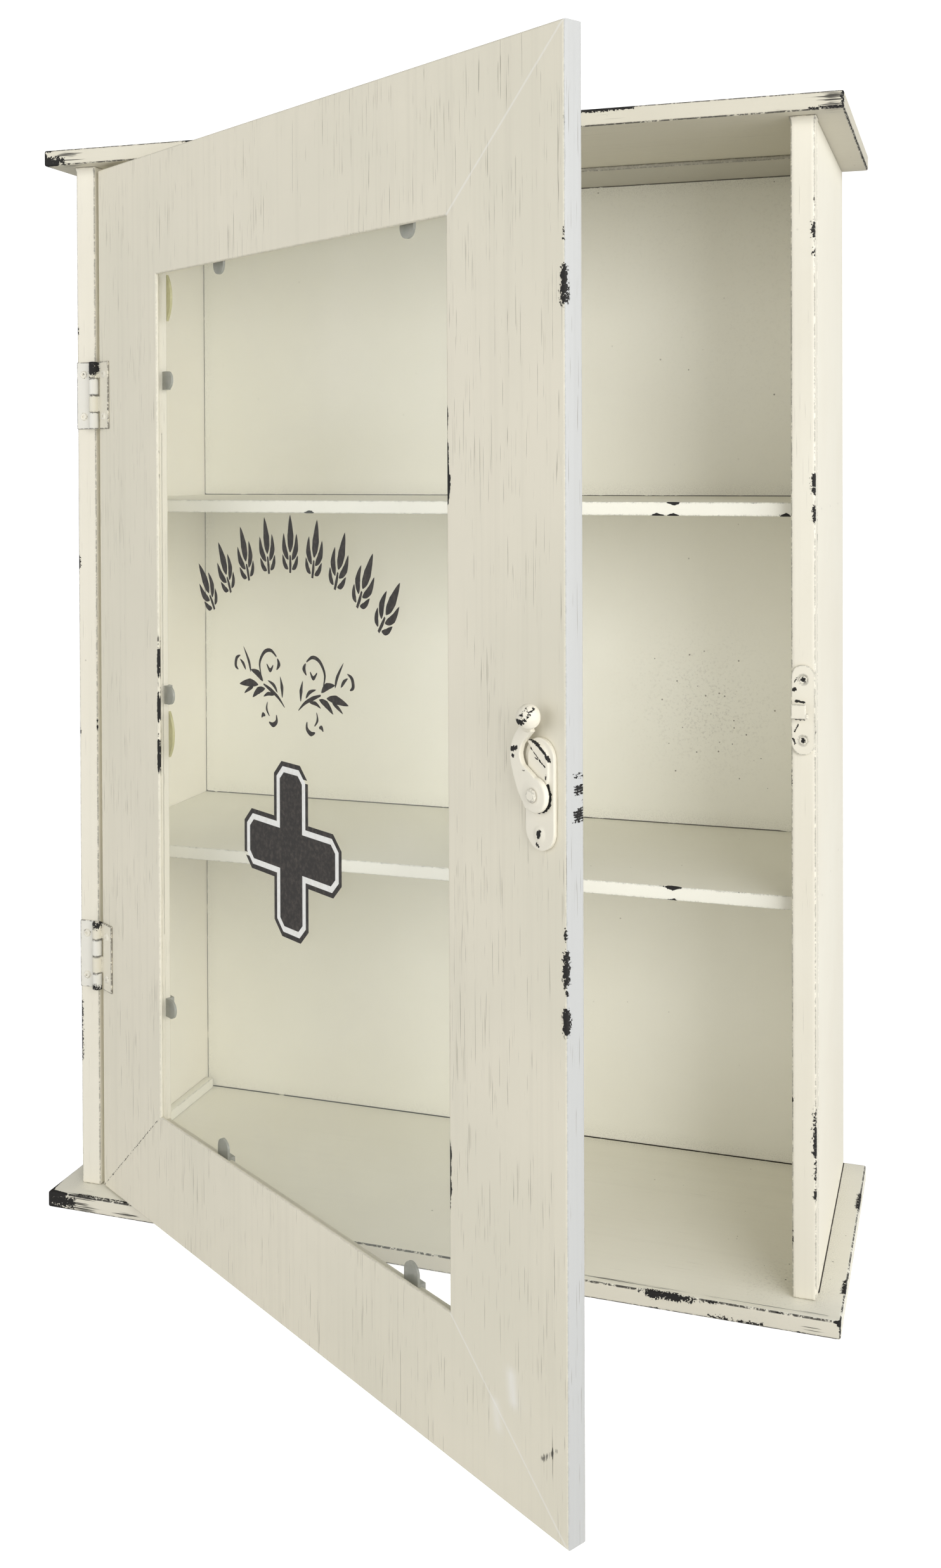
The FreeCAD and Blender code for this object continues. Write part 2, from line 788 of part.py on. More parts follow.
def save_hinges():
    """Both hinges, leaf by leaf."""
    for height, name in zip(hinge_heights, ("upper", "lower")):
        post_edge = -half_carcass + post_leaf_margin
        save(name + "_hinge_post_leaf", hinge_leaf(height, post_edge, 1, post_leaf_screw_x()))
        save(name + "_hinge_pin", hinge_pin(height))
        door_edge = hinge_x + door_leaf_wide
        save(name + "_hinge_door_leaf", hinge_leaf(height, door_edge, 0, door_leaf_screw_x()), True)
    save("hinge_post_screws", hinge_screws(post_leaf_screw_x()))
    save("hinge_door_screws", hinge_screws(door_leaf_screw_x()), True)


def save_door():
    """The door and the latch that it carries."""
    members = ("door_bottom_rail", "door_lock_stile", "door_top_rail", "door_hinge_stile")
    for index, name in enumerate(members):
        save(name, frame_member(index), True)
    save("mitre_dowels", mitre_dowels(), True)
    save("door_glass", door_glass(), True)
    save("glass_clips", glass_clips(), True)
    save("glass_clip_screws", glass_clip_screws(), True)
    save("glazing_dabs", glazing_dabs(), True)
    save("latch_plate", latch_plate(), True)
    save("latch_plate_screws", latch_screws(), True)
    save("latch_rivet", latch_rivet(), True)
    save("latch_lever", latch_lever(), True)


os.makedirs("parts", exist_ok=True)
save_carcass()
save_hinges()
save_door()
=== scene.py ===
"""Looks of a small painted wall cabinet: worn cream paint, a stencilled glass door, painted iron fittings."""
import json
import logging
import math
from dataclasses import dataclass
from enum import Enum
from typing import Any, Callable, Iterable, Sequence

import bmesh
import bpy
from mathutils import Matrix, Vector
from mathutils.geometry import intersect_point_line
from mathutils.kdtree import KDTree


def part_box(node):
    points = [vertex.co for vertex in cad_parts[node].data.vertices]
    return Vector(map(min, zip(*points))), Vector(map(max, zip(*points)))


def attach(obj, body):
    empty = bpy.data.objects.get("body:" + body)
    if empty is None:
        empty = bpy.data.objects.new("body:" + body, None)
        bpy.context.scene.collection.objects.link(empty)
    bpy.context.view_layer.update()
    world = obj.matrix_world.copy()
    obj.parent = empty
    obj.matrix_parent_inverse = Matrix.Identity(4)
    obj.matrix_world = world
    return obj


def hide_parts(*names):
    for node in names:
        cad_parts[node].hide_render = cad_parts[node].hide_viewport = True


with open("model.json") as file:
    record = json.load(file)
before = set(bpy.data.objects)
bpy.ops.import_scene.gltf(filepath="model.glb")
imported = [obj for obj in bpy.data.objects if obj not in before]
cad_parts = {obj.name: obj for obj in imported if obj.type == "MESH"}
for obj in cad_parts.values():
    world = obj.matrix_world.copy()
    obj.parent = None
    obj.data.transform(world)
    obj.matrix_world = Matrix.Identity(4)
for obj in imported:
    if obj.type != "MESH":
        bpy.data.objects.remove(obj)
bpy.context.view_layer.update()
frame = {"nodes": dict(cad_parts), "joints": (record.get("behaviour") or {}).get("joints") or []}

MM = 0.001
LOG = logging.getLogger("cabinet")
AXES = tuple(Vector(row) for row in Matrix.Identity(3))
OUTWARD = Vector((0, -1, 0))

Colour = tuple[float, float, float, float]
Triple = tuple[float, float, float]
Segment = tuple[Vector, Vector]
Material = bpy.types.Material
Piece = bpy.types.Object


class Body(Enum):
    """What a piece moves with."""

    CARCASS = "carcass"
    DOOR = "door"
    LEVER = "lever"


class Slot(Enum):
    """Finish names of the record, passed along with new pieces."""

    PAINTED_WOOD = "painted_wood"
    INNER_PAINT = "inner_paint"
    PAINTED_IRON = "painted_iron"
    PANE = "pane"


class BrushRun(Enum):
    """Direction of the paint brush, as the factors that squeeze the pattern along X, Y and Z."""

    UP = (1.0, 1.0, 0.015)
    ACROSS = (0.015, 1.0, 1.0)


class MarkKind(Enum):
    """A placed trace of use, and the attribute that carries it."""

    CHIP = "chip"
    DRY = "dry"
    SPECK = "speck"
    SMEAR = "smear"
    BALD = "bald"


CHIP, DRY, SPECK, SMEAR, BALD = MarkKind


@dataclass(frozen=True)
class Mark:
    """A placed trace of use: strength is a reach in mm for a chip, else a share. A long one has a far end."""

    kind: MarkKind
    place: Vector
    radius: float
    strength: float
    end: Vector | None = None

    @classmethod
    def placed(cls, origin: Sequence[float], kind: MarkKind, place: Triple, radius: float, strength: float,
               run: Triple | None = None) -> "Mark":
        """A mark given in mm from an origin.

        Args:
            origin: Where the millimetres start, in metres.
            kind: Its kind.
            place: Its place.
            radius: Its radius.
            strength: Its strength.
            run: From its place to its far end, for a long mark.

        Returns:
            The mark.
        """
        start = Vector([base + step * MM for base, step in zip(origin, place)])
        return cls(kind, start, radius * MM, strength, None if run is None else start + Vector(run) * MM)

    @property
    def ends(self) -> Segment:
        """Both ends, which are one place for a short mark."""
        return self.place, self.place if self.end is None else self.end

    def at(self, point: Vector) -> float:
        """Strength at a point.

        Args:
            point: The point.

        Returns:
            The mark's strength there, fading with distance.
        """
        near = self.place
        if self.end is not None:
            share = intersect_point_line(point, self.place, self.end)[1]
            near = self.place.lerp(self.end, min(1.0, max(0.0, share)))
        return self.strength * math.exp(-((point - near).length / self.radius) ** 2)


class Value:
    """A socket of a node tree that can be reckoned with."""

    def __init__(self, graph: "Graph", socket: bpy.types.NodeSocket) -> None:
        """Keep the socket and its graph."""
        self.graph = graph
        self.socket = socket

    def __add__(self, other: Any) -> "Value":
        """Sum of two values."""
        return self.graph.math("ADD", self, other)

    def __sub__(self, other: Any) -> "Value":
        """Difference of two values."""
        return self.graph.math("SUBTRACT", self, other)

    def __rsub__(self, other: float) -> "Value":
        """Difference of a number and a value."""
        return self.graph.math("SUBTRACT", other, self)

    def __mul__(self, other: Any) -> "Value":
        """Product of two values."""
        return self.graph.math("MULTIPLY", self, other)

    def __truediv__(self, other: Any) -> "Value":
        """Quotient of two values."""
        return self.graph.math("DIVIDE", self, other)

    def most(self, other: Any) -> "Value":
        """The greater of two values."""
        return self.graph.math("MAXIMUM", self, other)

    def step(self, low: Any, high: Any) -> "Value":
        """Rise smoothly from 0 to 1 as the value goes from low to high.

        Args:
            low: Where the rise begins.
            high: Where it ends.

        Returns:
            The result.
        """
        inputs = {"Value": self, "From Min": low, "From Max": high}
        return self.graph.out(self.graph.add("ShaderNodeMapRange", inputs, interpolation_type="SMOOTHSTEP"))


class Graph:
    """Adds and joins nodes in one shader node tree."""

    def __init__(self, tree: bpy.types.NodeTree) -> None:
        """Keep the tree that the nodes go into."""
        self.tree = tree

    def add(self, kind: str, inputs: dict[Any, Any] | None = None, **settings: Any) -> bpy.types.Node:
        """Add a node.

        Args:
            kind: The node's type name.
            inputs: What its inputs get, by name or number.
            settings: Its properties.

        Returns:
            The new node.
        """
        node = self.tree.nodes.new(kind)
        for name, value in settings.items():
            setattr(node, name, value)
        self.feed(node, inputs or {})
        return node

    def feed(self, node: bpy.types.Node, inputs: dict[Any, Any]) -> None:
        """Link values to a node's inputs, or set the inputs' own values.

        Args:
            node: The node.
            inputs: Values, numbers or colours, by the input's name or number.
        """
        for key, value in inputs.items():
            if isinstance(value, Value):
                self.tree.links.new(value.socket, node.inputs[key])
            else:
                node.inputs[key].default_value = value

    def out(self, node: bpy.types.Node, key: str | int = 0) -> Value:
        """An output of a node, by name or number."""
        return Value(self, node.outputs[key])

    def math(self, operation: str, first: Any, second: Any) -> Value:
        """The result of a Math node."""
        return self.out(self.add("ShaderNodeMath", {0: first, 1: second}, operation=operation))

    def mix(self, share: Any, first: Any, second: Any) -> Value:
        """Mix two colours.

        Args:
            share: Share of the second colour.
            first: A value or a colour.
            second: A value or a colour.

        Returns:
            The mixed colour.
        """
        inputs = {0: share, 6: first, 7: second}
        return self.out(self.add("ShaderNodeMix", inputs, data_type="RGBA", clamp_factor=True), 2)

    def noise(self, vector: Value, scale: float, detail: float = 2.0, rough: float = 0.5) -> Value:
        """Add a noise texture.

        Args:
            vector: Coordinates.
            scale: Blotches for each metre.
            detail: Octaves.
            rough: Weight of the finer octaves.

        Returns:
            The noise.
        """
        inputs = {"Vector": vector, "Scale": scale, "Detail": detail, "Roughness": rough}
        return self.out(self.add("ShaderNodeTexNoise", inputs))

    def squeeze(self, vector: Value, factors: Triple) -> Value:
        """Coordinates scaled along X, Y and Z."""
        return self.out(self.add("ShaderNodeMapping", {"Vector": vector, "Scale": factors}))

    def coords(self) -> Value:
        """Coordinates of the piece itself."""
        return self.out(self.add("ShaderNodeTexCoord"), "Object")

    def attribute(self, name: str) -> Value:
        """One of the piece's own vertex values."""
        return self.out(self.add("ShaderNodeAttribute", attribute_name=name), "Fac")

    def seen(self) -> Value:
        """1 for what the camera sees directly, else 0."""
        return self.out(self.add("ShaderNodeLightPath"), "Is Camera Ray")

    def place(self, group: bpy.types.NodeTree, **inputs: Any) -> dict[str, Value]:
        """Place a node group.

        Args:
            group: The group's tree.
            inputs: What its inputs get, by name.

        Returns:
            Its outputs by name.
        """
        node = self.add("ShaderNodeGroup", inputs, node_tree=group)
        return {socket.name: Value(self, socket) for socket in node.outputs}


class Effects:
    """Shared effects, each a node group built once. Each drawing method gives the group's outputs by name."""

    def __init__(self) -> None:
        """Build the groups."""
        self.chipping = self.group("Chipping", self.chips, Edge=9.0, Chip=0.0, Bald=0.0, Reach=1.0, Wide=0.5)
        self.brushing = self.group("Brushing", self.brush, Place=None, Dry=0.0, Amount=1.0)
        self.specks = self.group("Specks", self.dots, Amount=0.2)
        self.ageing = self.group("Ageing", self.age)
        self.grime = self.group("Grime", self.dirt, Seam=99.0)

    @staticmethod
    def group(name: str, draw: Callable[..., dict[str, Value]], **inputs: float | None) -> bpy.types.NodeTree:
        """Make a node group.

        Args:
            name: Its name.
            draw: Draws it from its inputs and gives its outputs.
            inputs: Inputs beside Vector with their values, None for coordinates.

        Returns:
            The group's tree.
        """
        tree = bpy.data.node_groups.new(name, "ShaderNodeTree")
        for label, value in {"Vector": None, **inputs}.items():
            kind = "NodeSocketVector" if value is None else "NodeSocketFloat"
            socket = tree.interface.new_socket(name=label, in_out="INPUT", socket_type=kind)
            if value is not None:
                socket.default_value = value
        graph = Graph(tree)
        source = graph.add("NodeGroupInput")
        results = draw(graph, **{label.lower(): graph.out(source, label) for label in ("Vector", *inputs)})
        for label in results:
            tree.interface.new_socket(name=label, in_out="OUTPUT", socket_type="NodeSocketFloat")
        graph.add("NodeGroupOutput", results)
        return tree

    @staticmethod
    def chips(graph: Graph, vector: Value, edge: Value, chip: Value, bald: Value, reach: Value,
              wide: Value) -> dict[str, Value]:
        """Paint knocked off along arrises.

        Args:
            graph: The group's graph.
            vector: Coordinates.
            edge: Distance to the nearest arris in mm.
            chip: A placed reach of the loss in mm.
            bald: A placed share of the loss.
            reach: Reach of the chips that noise places, in mm.
            wide: Width of the dark outline in mm.

        Returns:
            Chip where paint is gone, Rub where it is rubbed and Line along the arris.
        """
        patches = graph.noise(vector, 38.0, 3.0).step(0.60, 0.74)
        ragged = graph.noise(vector, 260.0, 4.0, 0.62)
        fine = graph.noise(vector, 900.0, 3.0, 0.6)
        reach = patches * reach + chip
        excess = reach + (ragged - 0.5) * 3.4 + (fine - 0.5) * 1.1 - edge
        knocked = excess.step(-0.05, 0.2) * reach.step(0.15, 0.6)
        torn = (ragged - 0.5) * 0.8 + (fine - 0.5) * 1.7
        lost = (bald + torn).step(0.5, 0.56) * bald.step(0.12, 0.3)
        thin = 1.0 - edge.step(wide, wide + 0.3)
        broken = (ragged * 0.6 + fine * 0.4).step(0.42, 0.5)
        worn = 1.0 - edge.step(0.1, 1.5)
        streaky = fine.step(0.47, 0.62) * ragged.step(0.42, 0.6)
        return {"Chip": knocked.most(lost), "Rub": worn * streaky, "Line": thin * broken}

    @staticmethod
    def brush(graph: Graph, vector: Value, place: Value, dry: Value, amount: Value) -> dict[str, Value]:
        """Fine dark lines where the top coat was dragged thin, and the brush's ridges.

        Args:
            graph: The group's graph.
            vector: Coordinates squeezed along the brush's run.
            place: Coordinates as they are.
            dry: A placed share of dragged paint.
            amount: Share of the lines that noise places.

        Returns:
            Line for the lines, Drag for placed drags and Ridge for the ridges.
        """
        lines = graph.noise(vector, 1900.0, 2.0, 0.55)
        broad = graph.noise(vector, 210.0, 3.0, 0.6)
        share = graph.noise(place, 24.0, 3.0, 0.6).step(0.32, 0.62) * amount
        low = 0.725 - share * 0.10
        edge = 0.86 - dry * 0.46
        mixed = lines * 0.55 + broad * 0.45
        return {"Line": lines.step(low, low + 0.06), "Drag": mixed.step(edge, edge + 0.06), "Ridge": broad}

    @staticmethod
    def dots(graph: Graph, vector: Value, amount: Value) -> dict[str, Value]:
        """Small dark dots and a fine spray of dirt.

        Args:
            graph: The group's graph.
            vector: Coordinates.
            amount: Share of the cells that hold a dot.

        Returns:
            Dot and Haze.
        """
        cells = graph.add("ShaderNodeTexVoronoi", {"Vector": vector, "Scale": 210.0}, feature="F1")
        chosen = graph.add("ShaderNodeSeparateColor", {0: graph.out(cells, "Color")})
        kept = (amount - graph.out(chosen, 0)).step(0.0, 0.04)
        size = graph.out(chosen, 1) * 0.11 + 0.05
        inside = 1.0 - (graph.out(cells, "Distance") / size).step(0.75, 1.0)
        spray = graph.noise(vector, 620.0, 3.0, 0.7).step(0.5, 0.72)
        return {"Dot": inside * kept, "Haze": spray * amount}

    @staticmethod
    def age(graph: Graph, vector: Value) -> dict[str, Value]:
        """Slow changes of tone over the paint.

        Args:
            graph: The group's graph.
            vector: Coordinates.

        Returns:
            Tone for broad patches and Cloud for smaller ones.
        """
        tone = graph.noise(vector, 7.0, 4.0, 0.55).step(0.3, 0.7)
        return {"Tone": tone, "Cloud": graph.noise(vector, 55.0, 4.0, 0.6)}

    @staticmethod
    def dirt(graph: Graph, vector: Value, seam: Value) -> dict[str, Value]:
        """Dirt in inner corners.

        Args:
            graph: The group's graph.
            vector: Coordinates.
            seam: Distance to the nearest inner corner in mm.

        Returns:
            Crack for the corner's dark line and Dirt for the spray beside it.
        """
        wide = graph.noise(vector, 85.0, 4.0, 0.65).step(0.24, 0.46) * 0.55
        spray = graph.noise(vector, 1300.0, 3.0, 0.7).step(0.42, 0.8)
        return {"Crack": (wide - seam).step(-0.2, 0.1), "Dirt": (1.0 - seam.step(0.5, 13.0)) * spray}


EFFECTS = Effects()


class Skin(Graph):
    """The node tree of a material, with its shader."""

    def __init__(self, name: str) -> None:
        """Start a material.

        Args:
            name: Its name.
        """
        self.material = bpy.data.materials.new(name)
        self.material.use_nodes = True
        super().__init__(self.material.node_tree)
        self.shader = next(node for node in self.tree.nodes if node.type == "BSDF_PRINCIPLED")

    def give(self, **inputs: Any) -> None:
        """Fill inputs of the shader, whose names have a space where these have an underscore."""
        self.feed(self.shader, {label.replace("_", " "): value for label, value in inputs.items()})

    def bump(self, height: Value, depth: float) -> None:
        """Raise the surface by a pattern whose full height is a depth in metres."""
        self.give(Normal=self.out(self.add("ShaderNodeBump", {"Distance": depth, "Height": height})))


@dataclass(frozen=True)
class Finish:
    """A surface finish."""

    name: str

    def make(self) -> Material:
        """Build the material.

        Returns:
            The material.
        """
        skin = Skin(self.name)
        self.fill(skin)
        return skin.material

    def fill(self, skin: Skin) -> None:
        """Draw the finish, each kind in its own way."""
        raise NotImplementedError


@dataclass(frozen=True)
class Tone:
    """A paint's colour and its darker patches."""

    light: Colour
    shade: Colour


@dataclass(frozen=True)
class Paint(Finish):
    """Cream paint over a dark undercoat, brushed thin, chipped and dirty."""

    tone: Tone
    run: BrushRun = BrushRun.UP
    lines: float = 1.0
    reach: float = 1.6
    specks: float = 0.03
    grime: float = 1.0
    rub: float = 0.55
    outline: float = 0.35
    outline_wide: float = 0.5
    roughness: float = 0.52
    pale_seams: bool = False
    undercoat: Colour = (0.012, 0.011, 0.010, 1)
    stain: Colour = (0.16, 0.135, 0.10, 1)
    crack: Colour = (0.035, 0.028, 0.022, 1)
    # Colour of the painted shade on chosen faces; this cool grey goes on the door's free edge
    primer: Colour = (0.50, 0.505, 0.495, 1)
    smear: Colour = (0.86, 0.85, 0.82, 1)

    def fill(self, skin: Skin) -> None:
        """Lay the coats, which read the attributes edge, seam, the painted face shade and those of the marks.

        Args:
            skin: The material's graph.
        """
        coords, read = skin.coords(), skin.attribute
        age = skin.place(EFFECTS.ageing, Vector=coords)
        brushed = skin.squeeze(coords, self.run.value)
        brush = skin.place(EFFECTS.brushing, Vector=brushed, Place=coords, Dry=read("dry"), Amount=self.lines)
        speck = skin.place(EFFECTS.specks, Vector=coords, Amount=read("speck") + self.specks)
        dirt = skin.place(EFFECTS.grime, Vector=coords, Seam=read("seam"))
        knock = skin.place(EFFECTS.chipping, Vector=coords, Edge=read("edge"), Chip=read("chip"),
                           Bald=read("bald"), Reach=self.reach, Wide=self.outline_wide)
        drawn = min(1.0, self.lines)
        settled, cracked, crack = 0.30 * self.grime, 0.85 * self.grime, self.crack
        if self.pale_seams:
            settled, cracked, crack = 0.0, 0.4, self.smear
        bare = knock["Chip"].most(brush["Drag"] * 0.9)
        coats = (
            (age["Tone"], self.tone.shade),
            (age["Cloud"].step(0.35, 0.75) * 0.18, self.tone.shade),
            # painted shade: a darker colour on chosen faces
            (read("primer"), self.primer),
            (read("smear"), self.smear),
            (brush["Ridge"].step(0.45, 0.75) * (0.05 * drawn), self.stain),
            (brush["Line"] * (0.62 * drawn), self.stain),
            (speck["Haze"] * 0.5, self.stain),
            (dirt["Dirt"] * settled, self.stain),
            (speck["Dot"] * 0.8, self.stain),
            (dirt["Crack"] * cracked, crack),
            (knock["Rub"] * self.rub, self.stain),
            (knock["Line"] * self.outline, self.undercoat),
            (bare, self.undercoat),
        )
        colour = self.tone.light
        for share, coat in coats:
            colour = skin.mix(share, colour, coat)
        skin.give(Base_Color=colour, Roughness=bare * 0.25 + self.roughness, Specular_IOR_Level=0.4)
        skin.bump(brush["Ridge"] * 0.3 - bare, 0.25 * MM)


@dataclass(frozen=True)
class FittingPaint(Finish):
    """Thick cream paint on iron, worn to dark metal by noise alone, for small CAD pieces."""

    light: Colour
    worn: Colour = (0.03, 0.025, 0.02, 1)
    wear: float = 0.62
    darker: float = 0.86

    def fill(self, skin: Skin) -> None:
        """Lay the paint and wear it off in spots.

        Args:
            skin: The material's graph.
        """
        coords = skin.coords()
        bare = skin.noise(coords, 330.0, 4.0, 0.65).step(self.wear, self.wear + 0.03)
        tint = skin.noise(coords, 120.0, 3.0)
        shade = tuple(self.darker * part for part in self.light[:3]) + (1,)
        colour = skin.mix(tint.step(0.35, 0.65), self.light, shade)
        skin.give(Base_Color=skin.mix(bare, colour, self.worn), Roughness=bare * 0.2 + 0.42)
        skin.bump(tint * 0.6 - bare, 0.2 * MM)


@dataclass(frozen=True)
class BareWood(Finish):
    """Unpainted softwood at the rear."""

    light: Colour = (0.47, 0.32, 0.18, 1)
    dark: Colour = (0.26, 0.15, 0.075, 1)

    def fill(self, skin: Skin) -> None:
        """Draw the grain and the rings, both along X.

        Args:
            skin: The material's graph.
        """
        coords = skin.coords()
        grain = skin.noise(skin.squeeze(coords, (0.04, 1.0, 1.0)), 260.0, 5.0, 0.6)
        rings = skin.noise(skin.squeeze(coords, (0.06, 1.0, 1.0)), 60.0, 3.0, 0.5)
        tone = (grain * 0.5 + rings * 0.5).step(0.35, 0.65)
        skin.give(Base_Color=skin.mix(tone, self.light, self.dark), Roughness=0.75)
        skin.bump(grain, 0.3 * MM)


@dataclass(frozen=True)
class DullSteel(Finish):
    """Zinc-grey steel with a few rusty spots."""

    tone: Colour = (0.42, 0.42, 0.41, 1)
    rust: Colour = (0.16, 0.07, 0.03, 1)

    def fill(self, skin: Skin) -> None:
        """Draw the rust and the uneven shine.

        Args:
            skin: The material's graph.
        """
        coords = skin.coords()
        spots = skin.noise(coords, 240.0, 4.0, 0.65).step(0.60, 0.70)
        rough = skin.noise(coords, 500.0) * 0.25 + 0.3
        bright = 0.95 - spots * 0.8
        skin.give(Base_Color=skin.mix(spots, self.tone, self.rust), Metallic=bright, Roughness=rough)


@dataclass(frozen=True)
class PaneGlass(Finish):
    """Thin window glass: nearly clear, a little green, more mirror-like at a slant, where a pale veil
    thickens as painted reflection.
    """

    tint: Colour = (0.70, 0.76, 0.70, 1)
    film: Colour = (0.78, 0.80, 0.76, 1)

    def fill(self, skin: Skin) -> None:
        """Draw the smears, and let the pane veil more at a slant as painted reflection.

        Args:
            skin: The material's graph.
        """
        smear = skin.noise(skin.coords(), 16.0, 4.0, 0.6).step(0.45, 0.75)
        slant = skin.out(skin.add("ShaderNodeLayerWeight", {"Blend": 0.25}), "Facing")
        # the veil rising at a slant is painted reflection
        veil = slant * 0.15 + 0.025 + smear * 0.02
        skin.give(Base_Color=skin.mix(smear, self.tint, self.film), Alpha=veil, Roughness=0.04)


@dataclass(frozen=True)
class Clouded(Finish):
    """A cloudy mixture of two tones, for plastic and glue."""

    tone: Colour
    pale: Colour
    scale: float
    detail: float
    roughness: float
    alpha: float = 1.0
    relief: float = 0.0

    def fill(self, skin: Skin) -> None:
        """Draw the clouds.

        Args:
            skin: The material's graph.
        """
        cloud = skin.noise(skin.coords(), self.scale, self.detail)
        colour = skin.mix(cloud, self.tone, self.pale)
        skin.give(Base_Color=colour, Roughness=self.roughness, Alpha=self.alpha)
        if self.relief:
            skin.bump(cloud, self.relief)


@dataclass(frozen=True)
class StencilInk(Finish):
    """Matt paint dabbed through a stencil, near-black if not said otherwise."""

    tone: Colour = (0.020, 0.017, 0.015, 1)
    thin: Colour = (0.06, 0.05, 0.042, 1)

    def fill(self, skin: Skin) -> None:
        """Draw the dabs.

        Args:
            skin: The material's graph.
        """
        dab = skin.noise(skin.coords(), 420.0, 4.0, 0.6)
        skin.give(Base_Color=skin.mix(dab.step(0.4, 0.75), self.tone, self.thin), Roughness=0.6)
        skin.bump(dab, 0.1 * MM)


@dataclass(frozen=True)
class PaleFloor(Finish):
    """A floor that looks white to the camera without lighting the cabinet more."""

    tone: Colour = (0.8, 0.8, 0.8, 1)
    glow: float = 0.8

    def fill(self, skin: Skin) -> None:
        """Set the tone and the glow."""
        skin.give(Base_Color=self.tone, Roughness=0.9, Emission_Color=(1, 1, 1, 1))
        skin.give(Emission_Strength=skin.seen() * self.glow)


# One cream paint, made lighter or darker per part so that each part's rendered brightness matches: painted
# light and shade. The top board's and the ceiling strip's copies are darker for their shade. INNER, FLOOR and
# SHELF are lighter for the light inside the box, and PALE on the posts is lighter than CREAM on the door.
CREAM = Tone((0.77, 0.725, 0.60, 1), (0.715, 0.68, 0.56, 1))
PALE = Tone((0.815, 0.78, 0.67, 1), (0.78, 0.74, 0.625, 1))
SHEET = Tone((0.88, 0.85, 0.735, 1), (0.85, 0.81, 0.69, 1))
SHADED_TOP_TONE = Tone((0.68, 0.645, 0.535, 1), (0.65, 0.615, 0.505, 1))
COOL = Tone((0.785, 0.77, 0.695, 1), (0.75, 0.73, 0.655, 1))
INNER = Tone((0.945, 0.93, 0.825, 1), (0.92, 0.90, 0.79, 1))
FLOOR = Tone((0.91, 0.89, 0.785, 1), (0.88, 0.855, 0.745, 1))
SHELF = Tone((0.865, 0.85, 0.75, 1), (0.84, 0.82, 0.715, 1))
SHADED_STRIP_TONE = Tone((0.56, 0.54, 0.465, 1), (0.53, 0.505, 0.43, 1))


class Finishes:
    """Every material, built once."""

    def __init__(self) -> None:
        """Build the materials."""
        across = BrushRun.ACROSS
        iron = {"lines": 0.0, "specks": 0.0}
        # Each part takes its own lighter or darker copy of the cream, as painted light and shade
        self.door = Paint("door_paint", CREAM, reach=0.5, specks=0.012, rub=0.15, outline=0.1,
                          pale_seams=True).make()
        self.post = Paint("post_paint", PALE, lines=0.6, reach=0.8, specks=0.02, outline=0.5,
                          outline_wide=0.6).make()
        self.side = Paint("side_paint", SHEET, lines=0.12, reach=0.6, specks=0.015, rub=0.2).make()
        self.top = Paint("top_paint", SHADED_TOP_TONE, across, lines=0.6, reach=1.3, rub=0.9, outline=0.85,
                         outline_wide=0.7).make()
        # The base board: a lighter copy of the cream on top, and a darker colour on its front as painted
        # shade
        self.base = Paint("base_paint", FLOOR, across, lines=0.4, reach=1.3, grime=1.5, rub=0.9, outline=0.9,
                          outline_wide=0.8, primer=(0.72, 0.685, 0.58, 1)).make()
        self.inner = Paint("inside_paint", INNER, lines=0.06, reach=0.0, specks=0.02, rub=0.1,
                           outline=0.0).make()
        self.shelf = Paint("shelf_paint", SHELF, across, lines=0.1, reach=0.5, rub=0.4, outline=0.15).make()
        self.strip = Paint("strip_paint", SHADED_STRIP_TONE, across, lines=0.1, reach=0.2, rub=0.4).make()
        self.door_iron = Paint("door_iron_paint", CREAM, reach=0.4, outline=0.6, **iron).make()
        self.post_iron = Paint("post_iron_paint", COOL, reach=0.4, outline=0.6, **iron).make()
        self.latch_iron = Paint("latch_iron_paint", PALE, reach=0.3, rub=0.25, outline=0.3, **iron).make()
        self.recess = FittingPaint("screw_paint", PALE.light, wear=0.6).make()
        # Near-black for the latch plate's screws: painted shade of their recess
        self.hole = FittingPaint("dark_screw_paint", (0.03, 0.027, 0.024, 1), (0.008, 0.007, 0.006, 1)).make()
        self.wood = BareWood("planed_wood").make()
        self.steel = DullSteel("dull_steel").make()
        self.glass = PaneGlass("pane_glass").make()
        self.clip = Clouded("smoky_plastic", (0.20, 0.20, 0.17, 1), (0.46, 0.46, 0.40, 1), 180.0, 3.0, 0.25,
                            alpha=0.78).make()
        self.glue = Clouded("glue_dab", (0.36, 0.33, 0.12, 1), (0.56, 0.52, 0.28, 1), 260.0, 4.0, 0.35,
                            relief=0.6 * MM).make()
        self.ink = StencilInk("stencil_ink").make()
        self.white = StencilInk("stencil_white", (0.83, 0.83, 0.80, 1), (0.76, 0.75, 0.70, 1)).make()


FINISHES = Finishes()


def corners(points: Iterable[Vector]) -> Segment:
    """Lowest and highest corners round some points."""
    rows = list(zip(*points))
    return Vector([min(row) for row in rows]), Vector([max(row) for row in rows])


def search_tree(points: Sequence[Vector]) -> KDTree:
    """Sort points for quick searches.

    Args:
        points: The points.

    Returns:
        Their tree.
    """
    tree = KDTree(len(points))
    for index, point in enumerate(points):
        tree.insert(point, index)
    tree.balance()
    return tree


def gaps(points: Sequence[Vector], segments: Sequence[Segment], far: float,
         pitch: float = 0.4 * MM) -> list[float]:
    """Distances from points to the nearest of some segments.

    Args:
        points: The points.
        segments: The segments.
        far: What to give when there are none, in mm.
        pitch: Spacing of the samples along a segment.

    Returns:
        The distances in mm.
    """
    samples: list[Vector] = []
    for start, end in segments:
        count = max(1, int((end - start).length / pitch))
        samples += [start.lerp(end, i / count) for i in range(count + 1)]
    if not samples:
        return [far] * len(points)
    tree = search_tree(samples)
    return [tree.find(point)[2] / MM for point in points]


